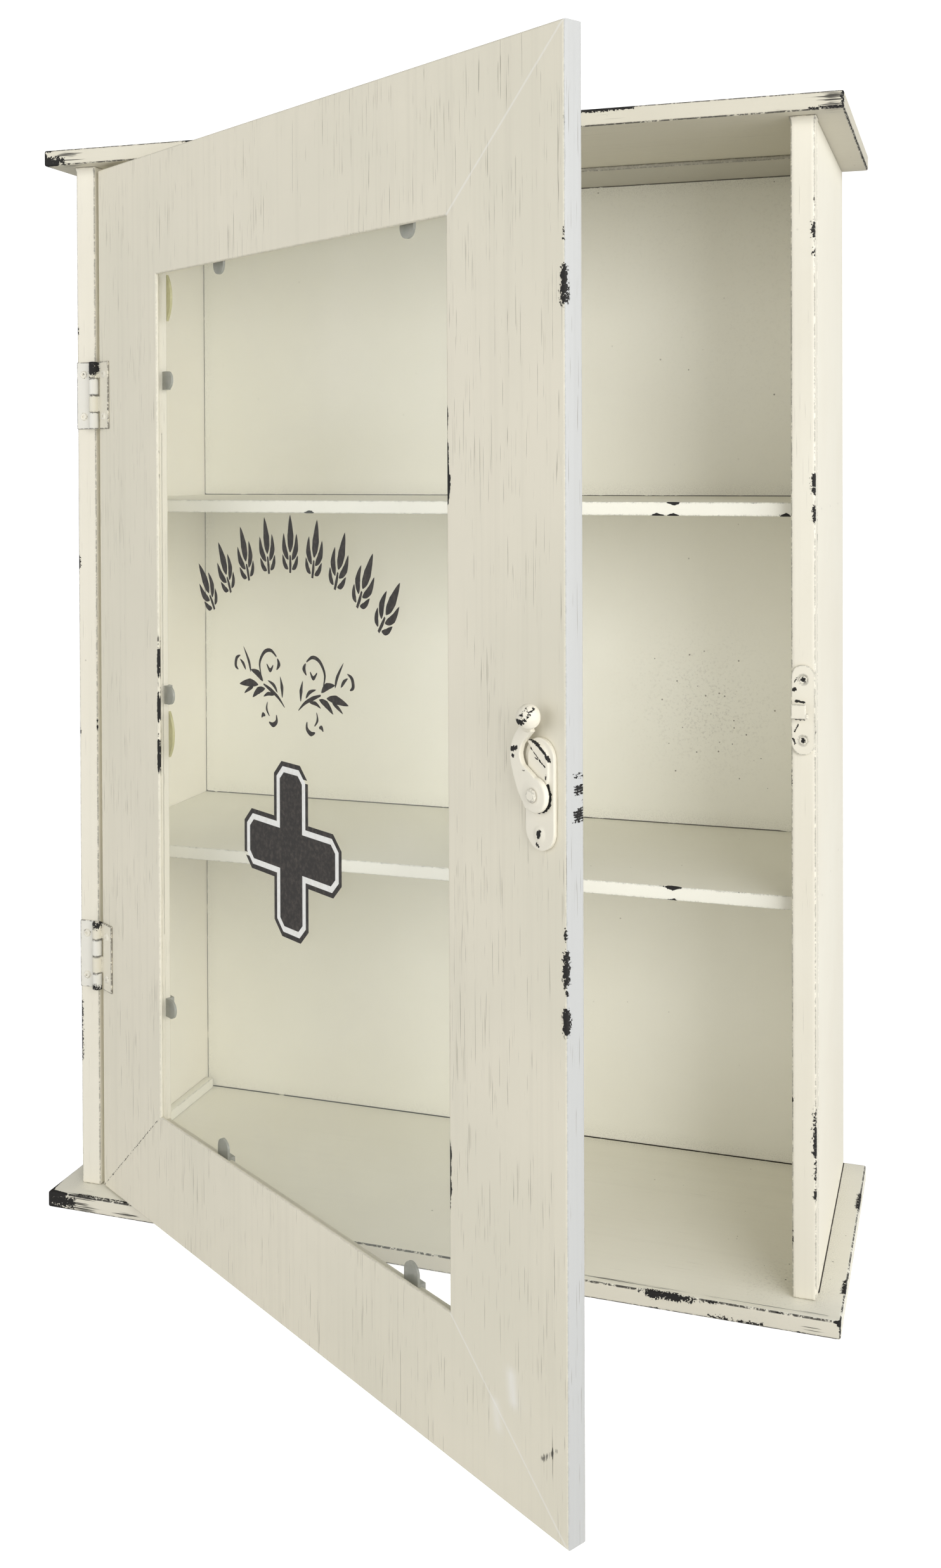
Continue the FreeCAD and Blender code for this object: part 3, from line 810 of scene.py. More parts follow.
@dataclass(frozen=True)
class Swing:
    """Turns what is drawn on the closed door to where the door stands open at rest."""

    matrix: Matrix

    @classmethod
    def from_joints(cls) -> "Swing":
        """Read the door's axis and opening from the joints.

        Returns:
            The swing.
        """
        joints = {joint["name"]: joint for joint in frame["joints"]}
        pin = Vector(joints["door_hinge"]["pos_m"])
        facing = Vector(joints["latch_turn"]["axis"])
        opening = math.atan2(facing.x, facing.y)
        return cls(Matrix.Translation(pin) @ Matrix.Rotation(-opening, 4, "Z") @ Matrix.Translation(-pin))

    def closed_box(self, node: str) -> Segment:
        """Lowest and highest corners of a CAD node with the door shut."""
        back = self.matrix.inverted()
        return corners(back @ vertex.co for vertex in frame["nodes"][node].data.vertices)


SWING = Swing.from_joints()


@dataclass(frozen=True)
class Stroke:
    """A tapered brush shape: points that its middle passes through, in mm, and half-widths along it."""

    points: tuple[tuple[float, float], ...]
    widths: tuple[float, ...]

    def middle(self, share: float) -> Vector:
        """A point of the middle line, as a Catmull-Rom curve.

        Args:
            share: 0 at the start, 1 at the end.

        Returns:
            The point.
        """
        spans = len(self.points) - 1
        index = min(int(share * spans), spans - 1)
        t = share * spans - index
        a, b, c, d = (Vector(self.points[max(0, min(spans, index + k))]) for k in (-1, 0, 1, 2))
        square, cube = 2 * a - 5 * b + 4 * c - d, 3 * b - a - 3 * c + d
        return 0.5 * (2 * b + (c - a) * t + square * t * t + cube * t ** 3)

    def half(self, share: float) -> float:
        """Half-width at a share of the length.

        Args:
            share: 0 at the start, 1 at the end.

        Returns:
            The half-width in mm.
        """
        place = share * (len(self.widths) - 1)
        index = min(int(place), len(self.widths) - 2)
        return self.widths[index] + (self.widths[index + 1] - self.widths[index]) * (place - index)

    def mirrored(self, axis: float) -> "Stroke":
        """The same stroke on the other side of an upright axis."""
        return Stroke(tuple((2 * axis - s, z) for s, z in self.points), self.widths)


class Shaper:
    """Shapes one piece with bmesh operators and turns it into an object."""

    seam_cuts = (-12.0, -5.0, -1.6, -0.5, 0.0, 0.5, 1.6, 5.0, 12.0)
    flat_angle = math.radians(1.0)
    arris_angle = math.radians(32)
    shading_angle = math.radians(38)
    same_place = 1e-6
    on_plane = 1e-7
    far_edge = 30.0
    far_seam = 99.0
    mark_reach = 2.6
    mark_margin = 1.5
    mark_step = 0.75
    fewest_steps = 4
    long_mark = 4.0
    straight_share = 0.97
    flare_power = 2.5
    thinnest = 0.08
    look_ahead = 0.02

    def __init__(self) -> None:
        """Start with an empty mesh."""
        self.mesh = bmesh.new()
        self.arrises: list[Segment] = []
        self.seams: list[Segment] = []
        # which points lie on a face that gets painted shade
        self.shaded_face: Callable[[Vector], bool] = lambda point: False

    def note_arrises(self, edges: Iterable[bmesh.types.BMEdge]) -> None:
        """Keep where some edges run, for the wear along them."""
        self.arrises += [(edge.verts[0].co.copy(), edge.verts[1].co.copy()) for edge in edges]

    def slab(self, low: Vector, high: Vector, rounding: float) -> "Shaper":
        """Make a board with rounded arrises.

        Args:
            low: Lowest corner.
            high: Highest corner.
            rounding: Radius of the arrises.

        Returns:
            This shaper.
        """
        self.block((low + high) / 2, high - low)
        self.note_arrises(self.mesh.edges)
        self.soften(list(self.mesh.edges), rounding)
        return self

    def block(self, middle: Vector, size: Iterable[float]) -> None:
        """Add a plain block with a middle and a size."""
        place = Matrix.Translation(middle) @ Matrix.Diagonal((*size, 1.0))
        bmesh.ops.create_cube(self.mesh, size=1.0, matrix=place)

    def soften(self, edges: list[bmesh.types.BMEdge], rounding: float) -> None:
        """Round some edges with a radius."""
        bmesh.ops.bevel(self.mesh, geom=edges, offset=rounding, offset_type="OFFSET", segments=3, profile=0.5,
                        affect="EDGES", clamp_overlap=True, material=-1)

    def copy_node(self, node: str, turn: Matrix | None = None) -> "Shaper":
        """Start from a merged copy of a CAD node and note its arrises.

        Args:
            node: The node's name.
            turn: Swing of the door, which is undone first, or None.

        Returns:
            This shaper.
        """
        mesh = self.mesh
        mesh.from_mesh(frame["nodes"][node].data)
        if turn is not None:
            bmesh.ops.transform(mesh, matrix=turn.inverted(), verts=mesh.verts)
        bmesh.ops.remove_doubles(mesh, verts=mesh.verts, dist=self.same_place)
        bmesh.ops.dissolve_limit(mesh, angle_limit=self.flat_angle, verts=mesh.verts, edges=mesh.edges)
        self.note_arrises(e for e in mesh.edges if e.is_manifold and e.calc_face_angle() > self.arris_angle)
        return self

    def box(self) -> Segment:
        """Lowest and highest corners of the mesh so far."""
        return corners(vertex.co for vertex in self.mesh.verts)

    def cut(self, point: Vector, normal: Vector, clear: bool = False) -> None:
        """Score the mesh along a plane.

        Args:
            point: A point of the plane.
            normal: Its direction.
            clear: Whether to remove what lies beyond it and close the cut.
        """
        geometry = [*self.mesh.verts, *self.mesh.edges, *self.mesh.faces]
        bmesh.ops.bisect_plane(self.mesh, geom=geometry, dist=self.on_plane, plane_co=point, plane_no=normal,
                               clear_outer=clear)
        if clear:
            rim = [edge for edge in self.mesh.edges if edge.is_boundary]
            bmesh.ops.contextual_create(self.mesh, geom=rim)

    def score(self, low: Vector, high: Vector, axis: int, pitch: float, near: Sequence[float] = ()) -> None:
        """Score the mesh across an axis, evenly and near both ends.

        Args:
            low: Lowest corner.
            high: Highest corner.
            axis: 0, 1 or 2.
            pitch: Even spacing, 0 for none.
            near: Distances from the ends.
        """
        length = high[axis] - low[axis]
        inside = [d for d in near if d < length / 2]
        places = inside + [length - d for d in inside]
        if pitch:
            count = int(length / pitch)
            places += [length * i / count for i in range(1, count)]
        for place in sorted(places):
            point = low.copy()
            point[axis] += place
            self.cut(point, AXES[axis])

    def refine(self, marks: Iterable[Mark], axes: Sequence[Vector]) -> None:
        """Score the mesh closely round small marks, so that it can carry them.

        Args:
            marks: The marks. Long ones along a direction are scored near their ends only.
            axes: Directions to score across.
        """
        low, high = self.box()
        for mark in marks:
            radius, ends = mark.radius, mark.ends
            if any(not low[i] - radius < end[i] < high[i] + radius for end in ends for i in range(3)):
                continue
            length = (ends[1] - ends[0]).length
            for axis in axes:
                first, last = sorted(end.dot(axis) for end in ends)
                straight = length > self.long_mark * radius and last - first > self.straight_share * length
                for start, stop in ((first, first), (last, last)) if straight else ((first, last),):
                    span = stop - start + 2 * self.mark_margin * radius
                    steps = max(self.fewest_steps, int(math.ceil(span / (self.mark_step * radius))))
                    for step in range(steps + 1):
                        level = start - self.mark_margin * radius + span * step / steps
                        self.cut(axis * level, axis)

    def flare(self, low: float, high: float, out: float) -> None:
        """Widen the mesh towards the top, as paint does in a corner.

        Args:
            low: Height where it starts.
            high: Height of the top.
            out: How far it widens there.
        """
        box = self.box()
        middle = (box[0] + box[1]) / 2
        for vert in self.mesh.verts:
            share = max(0.0, min(1.0, (vert.co.z - low) / (high - low)))
            for axis in (0, 1):
                vert.co[axis] += math.copysign(out * share ** self.flare_power, vert.co[axis] - middle[axis])

    def trace(self, seams: Iterable[Segment]) -> None:
        """Note inner corners where dirt gathers, and score the mesh along those that cross a face.

        Args:
            seams: The corners, each along an axis.
        """
        low, high = self.box()
        for start, end in seams:
            self.seams.append((start, end))
            for axis, normal in enumerate(AXES):
                runs_along = abs(end[axis] - start[axis]) > MM
                if runs_along or not low[axis] + MM < start[axis] < high[axis] - MM:
                    continue
                for offset in self.seam_cuts:
                    self.cut(start + normal * offset * MM, normal)

    def thicken(self, depth: Vector) -> None:
        """Turn flat shapes into closed ones.

        Args:
            depth: From their first face to their second.
        """
        grown = bmesh.ops.extrude_face_region(self.mesh, geom=list(self.mesh.faces))
        moved = [item for item in grown["geom"] if isinstance(item, bmesh.types.BMVert)]
        bmesh.ops.translate(self.mesh, vec=depth, verts=moved)

    def ribbon(self, stroke: Stroke, place: Callable[[Vector], Vector], steps: int = 14) -> None:
        """Draw a flat stroke by drawing one short edge along it.

        Args:
            stroke: The stroke.
            place: Where a point of the stroke's plane lies.
            steps: Pieces along it.
        """
        edge = None
        for step in range(steps + 1):
            share = step / steps
            here = stroke.middle(share)
            last, next_one = max(0.0, share - self.look_ahead), min(1.0, share + self.look_ahead)
            ahead = stroke.middle(next_one) - stroke.middle(last)
            side = Vector((-ahead.y, ahead.x)).normalized() * max(self.thinnest, stroke.half(share))
            ends = [place(here + side), place(here - side)]
            if edge is None:
                edge = self.mesh.edges.new([self.mesh.verts.new(end) for end in ends])
                continue
            grown = bmesh.ops.extrude_edge_only(self.mesh, edges=[edge])["geom"]
            edge = next(item for item in grown if isinstance(item, bmesh.types.BMEdge))
            old = [vert.co.copy() for vert in edge.verts]
            straight = (old[0] - ends[0]).length + (old[1] - ends[1]).length
            crossed = (old[0] - ends[1]).length + (old[1] - ends[0]).length
            for vert, end in zip(edge.verts, ends if straight <= crossed else ends[::-1]):
                vert.co = end

    def lathe(self, profile: Iterable[tuple[float, float]], foot: Vector, axis: Vector,
              steps: int = 40) -> None:
        """Turn a profile about an axis.

        Args:
            profile: Distances along the axis and radii, in mm, with both ends on the axis.
            foot: Where the distances start.
            axis: Direction of the axis.
            steps: Pieces round it.
        """
        mesh, side = self.mesh, axis.orthogonal().normalized()
        points = [foot + axis * (along * MM) + side * (radius * MM) for along, radius in profile]
        verts = [mesh.verts.new(point) for point in points]
        edges = [mesh.edges.new(pair) for pair in zip(verts[:-1], verts[1:])]
        bmesh.ops.spin(mesh, geom=verts + edges, cent=foot, axis=axis, angle=math.tau, steps=steps,
                       use_merge=True)
        bmesh.ops.remove_doubles(mesh, verts=mesh.verts, dist=self.same_place)

    def melt(self, cell: float, rounds: int) -> "Shaper":
        """Flow closed shells into one soft skin, as thick paint does.

        Args:
            cell: Size of the skin's cells.
            rounds: Rounds of smoothing.

        Returns:
            This shaper.
        """
        bmesh.ops.recalc_face_normals(self.mesh, faces=self.mesh.faces)
        data = bpy.data.meshes.new("melt")
        self.mesh.to_mesh(data)
        holder = bpy.data.objects.new("melt", data)
        bpy.context.scene.collection.objects.link(holder)
        skin = holder.modifiers.new("skin", "REMESH")
        skin.mode = "VOXEL"
        skin.voxel_size = cell
        result = holder.evaluated_get(bpy.context.evaluated_depsgraph_get()).to_mesh()
        self.mesh.clear()
        self.mesh.from_mesh(result)
        bpy.data.objects.remove(holder)
        bpy.data.meshes.remove(data)
        for _ in range(rounds):
            bmesh.ops.smooth_vert(self.mesh, verts=self.mesh.verts, factor=0.5,
                                  use_axis_x=True, use_axis_y=True, use_axis_z=True)
        return self

    def values(self, marks: Iterable[Mark]) -> dict[str, list[float]]:
        """Work out the vertex values that the paint reads.

        Args:
            marks: Placed traces of use.

        Returns:
            Values by attribute name.
        """
        points = [vertex.co.copy() for vertex in self.mesh.verts]
        result = {"edge": gaps(points, self.arrises, self.far_edge)}
        result["seam"] = gaps(points, self.seams, self.far_seam)
        # 1 where a face gets painted shade
        result["primer"] = [float(self.shaded_face(point)) for point in points]
        for kind in MarkKind:
            result[kind.value] = [0.0] * len(points)
        tree = search_tree(points)
        for mark in marks:
            numbers = result[mark.kind.value]
            start, end = mark.ends
            reach = (end - start).length / 2 + self.mark_reach * mark.radius
            for point, index, _ in tree.find_range((start + end) / 2, reach):
                numbers[index] = max(numbers[index], mark.at(point))
        return result

    def finish(self, name: str, body: Body, slot: Slot, material: Material, nodes: Sequence[str] = (),
               marks: Iterable[Mark] = ()) -> Piece:
        """Turn the mesh into a piece that rides on a body. What the door carries is swung open.

        Args:
            name: The piece's name.
            body: What it moves with.
            slot: Its finish in the record; not used.
            material: Its material.
            nodes: CAD nodes that it stands for.
            marks: Placed traces of use.

        Returns:
            The new object.
        """
        values = self.values(marks)
        if body is not Body.CARCASS:
            bmesh.ops.transform(self.mesh, matrix=SWING.matrix, verts=self.mesh.verts)
        bmesh.ops.recalc_face_normals(self.mesh, faces=self.mesh.faces)
        data = bpy.data.meshes.new(name)
        self.mesh.to_mesh(data)
        self.mesh.free()
        for label, numbers in values.items():
            layer = data.attributes.new(label, "FLOAT", "POINT")
            layer.data.foreach_set("value", numbers)
        data.shade_smooth()
        data.set_sharp_from_angle(angle=self.shading_angle)
        data.materials.append(material)
        piece = bpy.data.objects.new(name, data)
        bpy.context.scene.collection.objects.link(piece)
        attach(piece, body.value)
        if nodes:
            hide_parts(*nodes)
        LOG.info("%s: %d faces on %s", name, len(data.polygons), body.value)
        return piece


def post_chips(x: float, radius: float, *spots: Triple) -> list[tuple[Any, ...]]:
    """Rows of paint lost along an upright arris, each spot a height, a length and a strength."""
    return [(BALD, (x, 0, z), radius, strength, (0, 0, run)) for z, run, strength in spots]


CARCASS_WEAR = {
    "base_board": [
        (BALD, (143, -17, 8.6), 3.0, 0.92, (16, 0, 0)),
        (BALD, (137, -17, 9.4), 2.3, 0.68, (30, 0, -0.6)),
        (BALD, (170, -17, 8.6), 1.2, 0.62, (10, 0, 0.8)),
        (CHIP, (247, -17, 9), 4, 2.0),
        (BALD, (247.5, -17, 5), 2.2, 0.75, (0, 0, 4)),
        (DRY, (232, -17, 4), 16, 0.62),
        (BALD, (176, -17, 1.6), 1.3, 0.66, (30, 0, 0)),
        (BALD, (247, 14, 9.8), 2.2, 0.8, (0, 13, 0)),
        (BALD, (248.6, 32, 9), 1.6, 0.7, (0, 10, 0)),
        (BALD, (247.5, 118, 9.4), 2.6, 0.85, (0, 18, 0)),
        (DRY, (60, -13, 10), 5, 0.66, (180, 0, 0)),
        (CHIP, (-246, -17, 8), 12, 3.2),
        (BALD, (-247, -17, 5), 4.2, 0.9, (16, 0, 0)),
        (DRY, (-222, -17, 5), 22, 0.8),
        (DRY, (-190, -17, 3), 24, 0.6),
        (BALD, (-226, -15, 10), 1.4, 0.7, (34, 0, 0)),
        (DRY, (-244, 10, 10), 16, 0.5),
        (SPECK, (212, 14, 10), 22, 0.5),
    ],
    "top_board": [
        (CHIP, (-250, -11, 672), 7, 2.4),
        (BALD, (-249, -11, 670), 3.4, 0.85, (12, 0, 0)),
        (DRY, (-232, -11, 671), 20, 0.75),
        (DRY, (-190, -11, 675), 36, 0.5),
        (BALD, (-150, -11, 676.6), 1.5, 0.75, (70, 0, 0)),
        (BALD, (90, -11, 676.5), 1.9, 1.0, (44, 0, 0.2)),
        (DRY, (160, -11, 677), 24, 0.5),
        (BALD, (249.5, -11, 675.5), 2.4, 0.72, (0, 0, -7)),
        (BALD, (232, -11, 668), 1.5, 0.62, (17, 0, 0)),
        (DRY, (243, -11, 671), 13, 0.85),
        (DRY, (215, -11, 669), 14, 0.55),
        (BALD, (250, -6, 667.5), 1.3, 0.72, (0, 180, 0)),
        (DRY, (250, 150, 670), 20, 0.6),
    ],
    "right_post": [
        *post_chips(233.5, 2.6, (600, 7, 0.8), (590, 3, 0.66), (459, 9, 0.9), (444, 6, 0.78), (91, 14, 0.92),
                    (78, 40, 0.6), (68, 3, 0.66), (326, 5, 0.56)),
        *post_chips(220, 1.3, (349, 5, 0.95), (296, 9, 0.7), (120, 2, 0.9), (40, 8, 0.6)),
    ],
    "left_post": post_chips(-233.5, 2.0, (410, 6, 0.9), (92, 36, 0.85), (560, 4, 0.7), (300, 5, 0.65)),
    "lower_shelf": [(CHIP, (151, 11.7, 231), 4, 3.0), (CHIP, (151, 11.7, 226), 3, 2.0)],
    "upper_shelf": [(CHIP, (x, 11.7, z), 2.6, 2.6) for x, z in (
        (143, 445), (152, 445), (152, 453), (211, 449), (216, 446), (-76, 446))],
    "back_panel": [
        (SPECK, (146, 166, 311), 36, 0.6),
        (SPECK, (190, 166, 560), 70, 0.10),
        (SPECK, (210, 166, 640), 60, 0.16),
        (SPECK, (120, 166, 655), 60, 0.10),
    ],
}


@dataclass
class Carcass:
    """The fixed box: boards, posts, panels, shelves and trims."""

    rounding: float = 1.3 * MM
    thin_rounding: float = 0.7 * MM
    pitch: float = 7 * MM
    panel_pitch: float = 22 * MM
    flare_high: float = 6 * MM
    flare_out: float = 1.2 * MM
    flare_steps: int = 6
    shaded_face_depth: float = 0.4 * MM
    near: tuple[float, ...] = (2.6 * MM, 4.5 * MM, 7.5 * MM)
    panel_near: tuple[float, ...] = (1.5 * MM, 4 * MM, 9 * MM)

    def __post_init__(self) -> None:
        """Find the posts' front faces and the base board's top."""
        self.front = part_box("left_post")[0].y
        self.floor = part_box("base_board")[1].z

    def marks(self, node: str) -> list[Mark]:
        """Placed traces of use on a node, in mm from the middle, the posts' front and the foot."""
        return [Mark.placed((0, self.front, 0), *row) for row in CARCASS_WEAR.get(node, ())]

    def board(self, node: str, material: Material, slot: Slot, long_axis: int, rounding: float,
              seams: Iterable[Segment] = (), flare: bool = False) -> Piece:
        """Make a painted board in place of its CAD node.

        Args:
            node: The node.
            material: Its material.
            slot: Its finish in the record.
            long_axis: The axis of its length.
            rounding: Radius of its arrises.
            seams: Inner corners where dirt gathers.
            flare: Whether thick paint widens it below its top.

        Returns:
            The piece.
        """
        low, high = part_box(node)
        shaper = Shaper().slab(low, high, rounding)
        for axis in range(3):
            shaper.score(low, high, axis, self.pitch if axis == long_axis else 0.0, self.near)
        if flare:
            start = high.z - self.flare_high
            shaper.score(Vector((*low.xy, start)), high, 2, self.flare_high / self.flare_steps)
            shaper.flare(start, high.z, self.flare_out)
        marks = self.marks(node)
        small = [mark for mark in marks if mark.radius < self.pitch]
        shaper.refine(small, AXES[:2] if long_axis == 0 else (AXES[long_axis],))
        shaper.trace(seams)
        # The base board's front face gets a darker colour: painted shade
        shaper.shaded_face = lambda point: material is FINISHES.base and point.y < low.y + self.shaded_face_depth
        return shaper.finish("painted_" + node, Body.CARCASS, slot, material, (node,), marks)

    def panel(self, node: str, material: Material, seams: Iterable[Segment], thin_axis: int,
              front: float) -> Piece:
        """Make a painted sheet in place of its CAD node.

        Args:
            node: The node.
            material: Its material.
            seams: Inner corners where dirt gathers.
            thin_axis: The axis of its thickness.
            front: Y of its front.

        Returns:
            The piece.
        """
        low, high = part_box(node)
        low.y = front
        shaper = Shaper().slab(low, high, self.thin_rounding)
        for axis in range(3):
            if axis != thin_axis:
                shaper.score(low, high, axis, self.panel_pitch, self.panel_near)
        shaper.trace(seams)
        marks = self.marks(node)
        return shaper.finish("painted_" + node, Body.CARCASS, Slot.INNER_PAINT, material, (node,), marks)

    def build(self) -> None:
        """Make all boards and panels."""
        wood, inner, thin = Slot.PAINTED_WOOD, Slot.INNER_PAINT, self.thin_rounding
        seams = [self.floor_seam(), *self.foot_seams()]
        self.board("base_board", FINISHES.base, wood, 0, self.rounding, seams)
        self.board("top_board", FINISHES.top, wood, 0, self.rounding)
        for node in ("right_post", "left_post"):
            self.board(node, FINISHES.post, wood, 2, self.rounding, flare=True)
        for node in ("lower_shelf", "upper_shelf"):
            self.board(node, FINISHES.shelf, inner, 0, thin, [self.shelf_seam(node)])
        self.board("ceiling_strip", FINISHES.strip, inner, 0, thin)
        for node in ("left_base_bead", "right_base_bead"):
            self.board(node, FINISHES.shelf, inner, 1, thin)
        self.panels()

    def floor_seam(self) -> Segment:
        """Where the base board meets the back panel inside."""
        low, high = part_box("back_panel")
        return Vector((low.x, low.y, self.floor)), Vector((high.x, low.y, self.floor))

    def foot_seams(self) -> list[Segment]:
        """Where the sides stand on the base board, outside.

        Returns:
            The corners.
        """
        seams = []
        for node, side in (("left_side_panel", 0), ("right_side_panel", 1)):
            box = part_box(node)
            x = box[side].x
            seams.append((Vector((x, self.front, self.floor)), Vector((x, box[1].y, self.floor))))
        return seams

    def shelf_seam(self, node: str) -> Segment:
        """Where a shelf's top meets the back panel."""
        low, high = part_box(node)
        return Vector((low.x, high.y, high.z)), high.copy()

    def panels(self) -> None:
        """Make the side and back sheets, the side ones from behind the posts."""
        low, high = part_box("back_panel")
        left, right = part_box("left_side_panel")[1].x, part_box("right_side_panel")[0].x
        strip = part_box("ceiling_strip")[0].z
        seams = [self.floor_seam(), self.shelf_seam("lower_shelf"), self.shelf_seam("upper_shelf")]
        for start, end in (((left, low.z), (left, high.z)), ((right, low.z), (right, high.z)),
                           ((left, strip), (right, strip))):
            seams.append((Vector((start[0], low.y, start[1])), Vector((end[0], low.y, end[1]))))
        self.panel("back_panel", FINISHES.inner, seams, 1, low.y)
        for node in ("left_side_panel", "right_side_panel"):
            self.panel(node, FINISHES.side, (), 0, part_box("left_post")[1].y)


@dataclass
class Pane:
    """The door's glass, its front a little nearer to the frame's than in the CAD, as in the photo."""

    forward: float = 1.8 * MM
    rounding: float = 0.3 * MM

    def __post_init__(self) -> None:
        """Find the sheet's box on the closed door."""
        self.low, self.high = SWING.closed_box("door_glass")
        self.front = self.low.y - self.forward
        self.low.y = self.front

    def build(self) -> None:
        """Make the sheet in place of its CAD node."""
        shaper = Shaper().slab(self.low, self.high, self.rounding)
        shaper.finish("clear_door_glass", Body.DOOR, Slot.PANE, FINISHES.glass, ("door_glass",))


DOOR_WEAR = [
    *((BALD, (436.4, 0, z), radius, strength, (0, 0, -run)) for z, run, radius, strength in (
        (559, 12, 2.6, 0.86), (548, 3, 3.2, 0.85), (575, 4, 1.3, 0.6), (266, 11, 2.6, 0.84),
        (253, 3, 1.7, 0.66), (241.5, 8, 2.8, 0.92), (277, 4, 1.3, 0.66))),
    *((CHIP, (s, 0, z), radius, strength) for s, z, radius, strength in (
        (356.5, 480, 8, 2.2), (356.5, 466, 9, 3.2), (356.5, 497, 6, 1.8), (356.5, 152, 8, 2.4),
        (356.5, 138, 7, 2.2), (76.5, 356, 9, 1.6), (76.5, 300, 12, 1.7), (76.5, 330, 10, 1.4))),
    (SMEAR, (400, 0, 70), 3.0, 0.62, (1.6, 0, -11)),
    *((BALD, (437, d, z), 0.62, strength, (0, 10.4 - d, 0.5)) for d, z, strength in (
        (4.6, 342.6, 0.60), (4.0, 341.4, 0.78), (6.0, 340.6, 0.55), (5.0, 337.4, 0.80), (4.2, 336.2, 0.95),
        (4.6, 335.0, 0.90), (5.6, 333.9, 0.70), (6.0, 331.0, 0.50), (6.8, 329.6, 0.52), (7.0, 327.6, 0.75),
        (4.8, 326.5, 0.90), (5.4, 325.4, 0.95), (4.4, 324.3, 0.95), (4.0, 323.2, 0.85), (3.4, 322.2, 0.70))),
    (SMEAR, (389, 0, 52), 2.8, 0.4, (2, 0, -9)),
    (DRY, (430, 0, 51), 2.8, 0.82, (-9, 0, -8)),
    (BALD, (350, 2, 90.5), 1.4, 0.9, (4, 0, -1)),
]


@dataclass
class DoorFrame:
    """The door's mitred frame, drawn on the closed door."""

    rounding: float = 1.0 * MM
    pitch: float = 8 * MM
    near: tuple[float, ...] = (1.2 * MM, 3 * MM, 6 * MM, 10 * MM)
    mitre_cuts: tuple[float, ...] = (1.0 * MM, 3 * MM)
    depth_cuts: tuple[float, ...] = (3 * MM, 5.2 * MM, 7.5 * MM, 9 * MM)
    shaded_face_depth: float = 0.35 * MM
    parallel: float = 0.99
    joint_wide: float = 0.6 * MM
    joint_strength: float = 0.55

    def __post_init__(self) -> None:
        """Find the frame's outer edges, its sight opening, its front and its back."""
        left, right = SWING.closed_box("door_hinge_stile"), SWING.closed_box("door_lock_stile")
        low, top = SWING.closed_box("door_bottom_rail"), SWING.closed_box("door_top_rail")
        self.outer = (left[0].x, right[1].x, low[0].z, top[1].z)
        self.sight = (left[1].x, right[0].x, low[1].z, top[0].z)
        self.face, self.back = left[0].y, left[1].y

    def build(self) -> None:
        """Make the four members. Ends are 0 or 1: hinge or lock side, then bottom or top."""
        self.member("door_hinge_stile", ((0, 0), (0, 1)))
        self.member("door_lock_stile", ((1, 0), (1, 1)))
        self.member("door_top_rail", ((0, 1), (1, 1)))
        self.member("door_bottom_rail", ((0, 0), (1, 0)))

    def corner(self, side: int, level: int, edges: Sequence[float]) -> Vector:
        """A corner of the front, of the outer edges or the sight opening."""
        return Vector((edges[side], self.face, edges[2 + level]))

    def bar(self, start: Vector, run: Vector, across: Vector, width: float) -> Shaper:
        """Draw a rebated bar with its lengthwise arrises rounded.

        Args:
            start: Its first outer corner.
            run: From there to its other end.
            across: Direction from its outer edge to the sight opening.
            width: Its width.

        Returns:
            The bar's shaper.
        """
        pane = Pane()
        lip, thick = pane.front - self.face, self.back - self.face
        rebated = width - (self.sight[0] - pane.low.x)
        section = ((0, 0), (width, 0), (width, lip), (rebated, lip), (rebated, thick), (0, thick))
        offsets = [across * w + AXES[1] * d for w, d in section]
        shaper = Shaper()
        shaper.mesh.faces.new([shaper.mesh.verts.new(start + offset) for offset in offsets])
        shaper.thicken(run)
        for offset in (*offsets[:3], offsets[5]):
            shaper.arrises.append((start + offset, start + run + offset))
        along = run.normalized()
        ways = {edge: (edge.verts[1].co - edge.verts[0].co).normalized() for edge in shaper.mesh.edges}
        lengthwise = [edge for edge, way in ways.items() if abs(way.dot(along)) > self.parallel]
        shaper.soften(lengthwise, self.rounding)
        return shaper

    def member(self, node: str, ends: Sequence[tuple[int, int]]) -> Piece:
        """Make one member: a bar, cut at both mitres and scored for its wear.

        Args:
            node: Its CAD node.
            ends: The corners that it joins.

        Returns:
            The piece.
        """
        outer = [self.corner(*end, self.outer) for end in ends]
        inner = [self.corner(*end, self.sight) for end in ends]
        run = outer[1] - outer[0]
        along = run.normalized()
        across = inner[0] - outer[0]
        across = across - along * across.dot(along)
        width = across.length
        across.normalize()
        shaper = self.bar(outer[0], run, across, width)
        for end, sign in ((0, -1.0), (1, 1.0)):
            normal = AXES[1].cross((inner[end] - outer[end]).normalized())
            normal *= sign if normal.dot(along) > 0 else -sign
            shaper.cut(outer[end], normal, clear=True)
            if ends[end][0] == 1:
                shaper.seams.append((outer[end], inner[end]))
            for offset in self.mitre_cuts:
                shaper.cut(outer[end] - normal * offset, normal)
        for offset in (*self.near, *(width - near for near in self.near)):
            shaper.cut(outer[0] + across * offset, across)
        count = int(run.length / self.pitch)
        for index in range(1, count):
            shaper.cut(outer[0] + along * (run.length * index / count), along)
        for offset in self.depth_cuts:
            shaper.cut(outer[0] + AXES[1] * offset, AXES[1])
        marks = [Mark.placed((self.outer[0], self.face, 0), *row) for row in DOOR_WEAR]
        shaper.refine([mark for mark in marks if mark.radius < self.pitch], (along, across))
        # The door's free edge gets a cool grey: painted shade and cool light on that face
        shaper.shaded_face = lambda point: point.x > self.outer[1] - self.shaded_face_depth
        marks.append(self.joint_line())
        return shaper.finish("painted_" + node, Body.DOOR, Slot.PAINTED_WOOD, FINISHES.door, (node,), marks)

    def joint_line(self) -> Mark:
        """A dark hairline along the lower hinge corner's mitre."""
        start, end = self.corner(0, 0, self.outer), self.corner(0, 0, self.sight)
        return Mark(BALD, start, self.joint_wide, self.joint_strength, end)


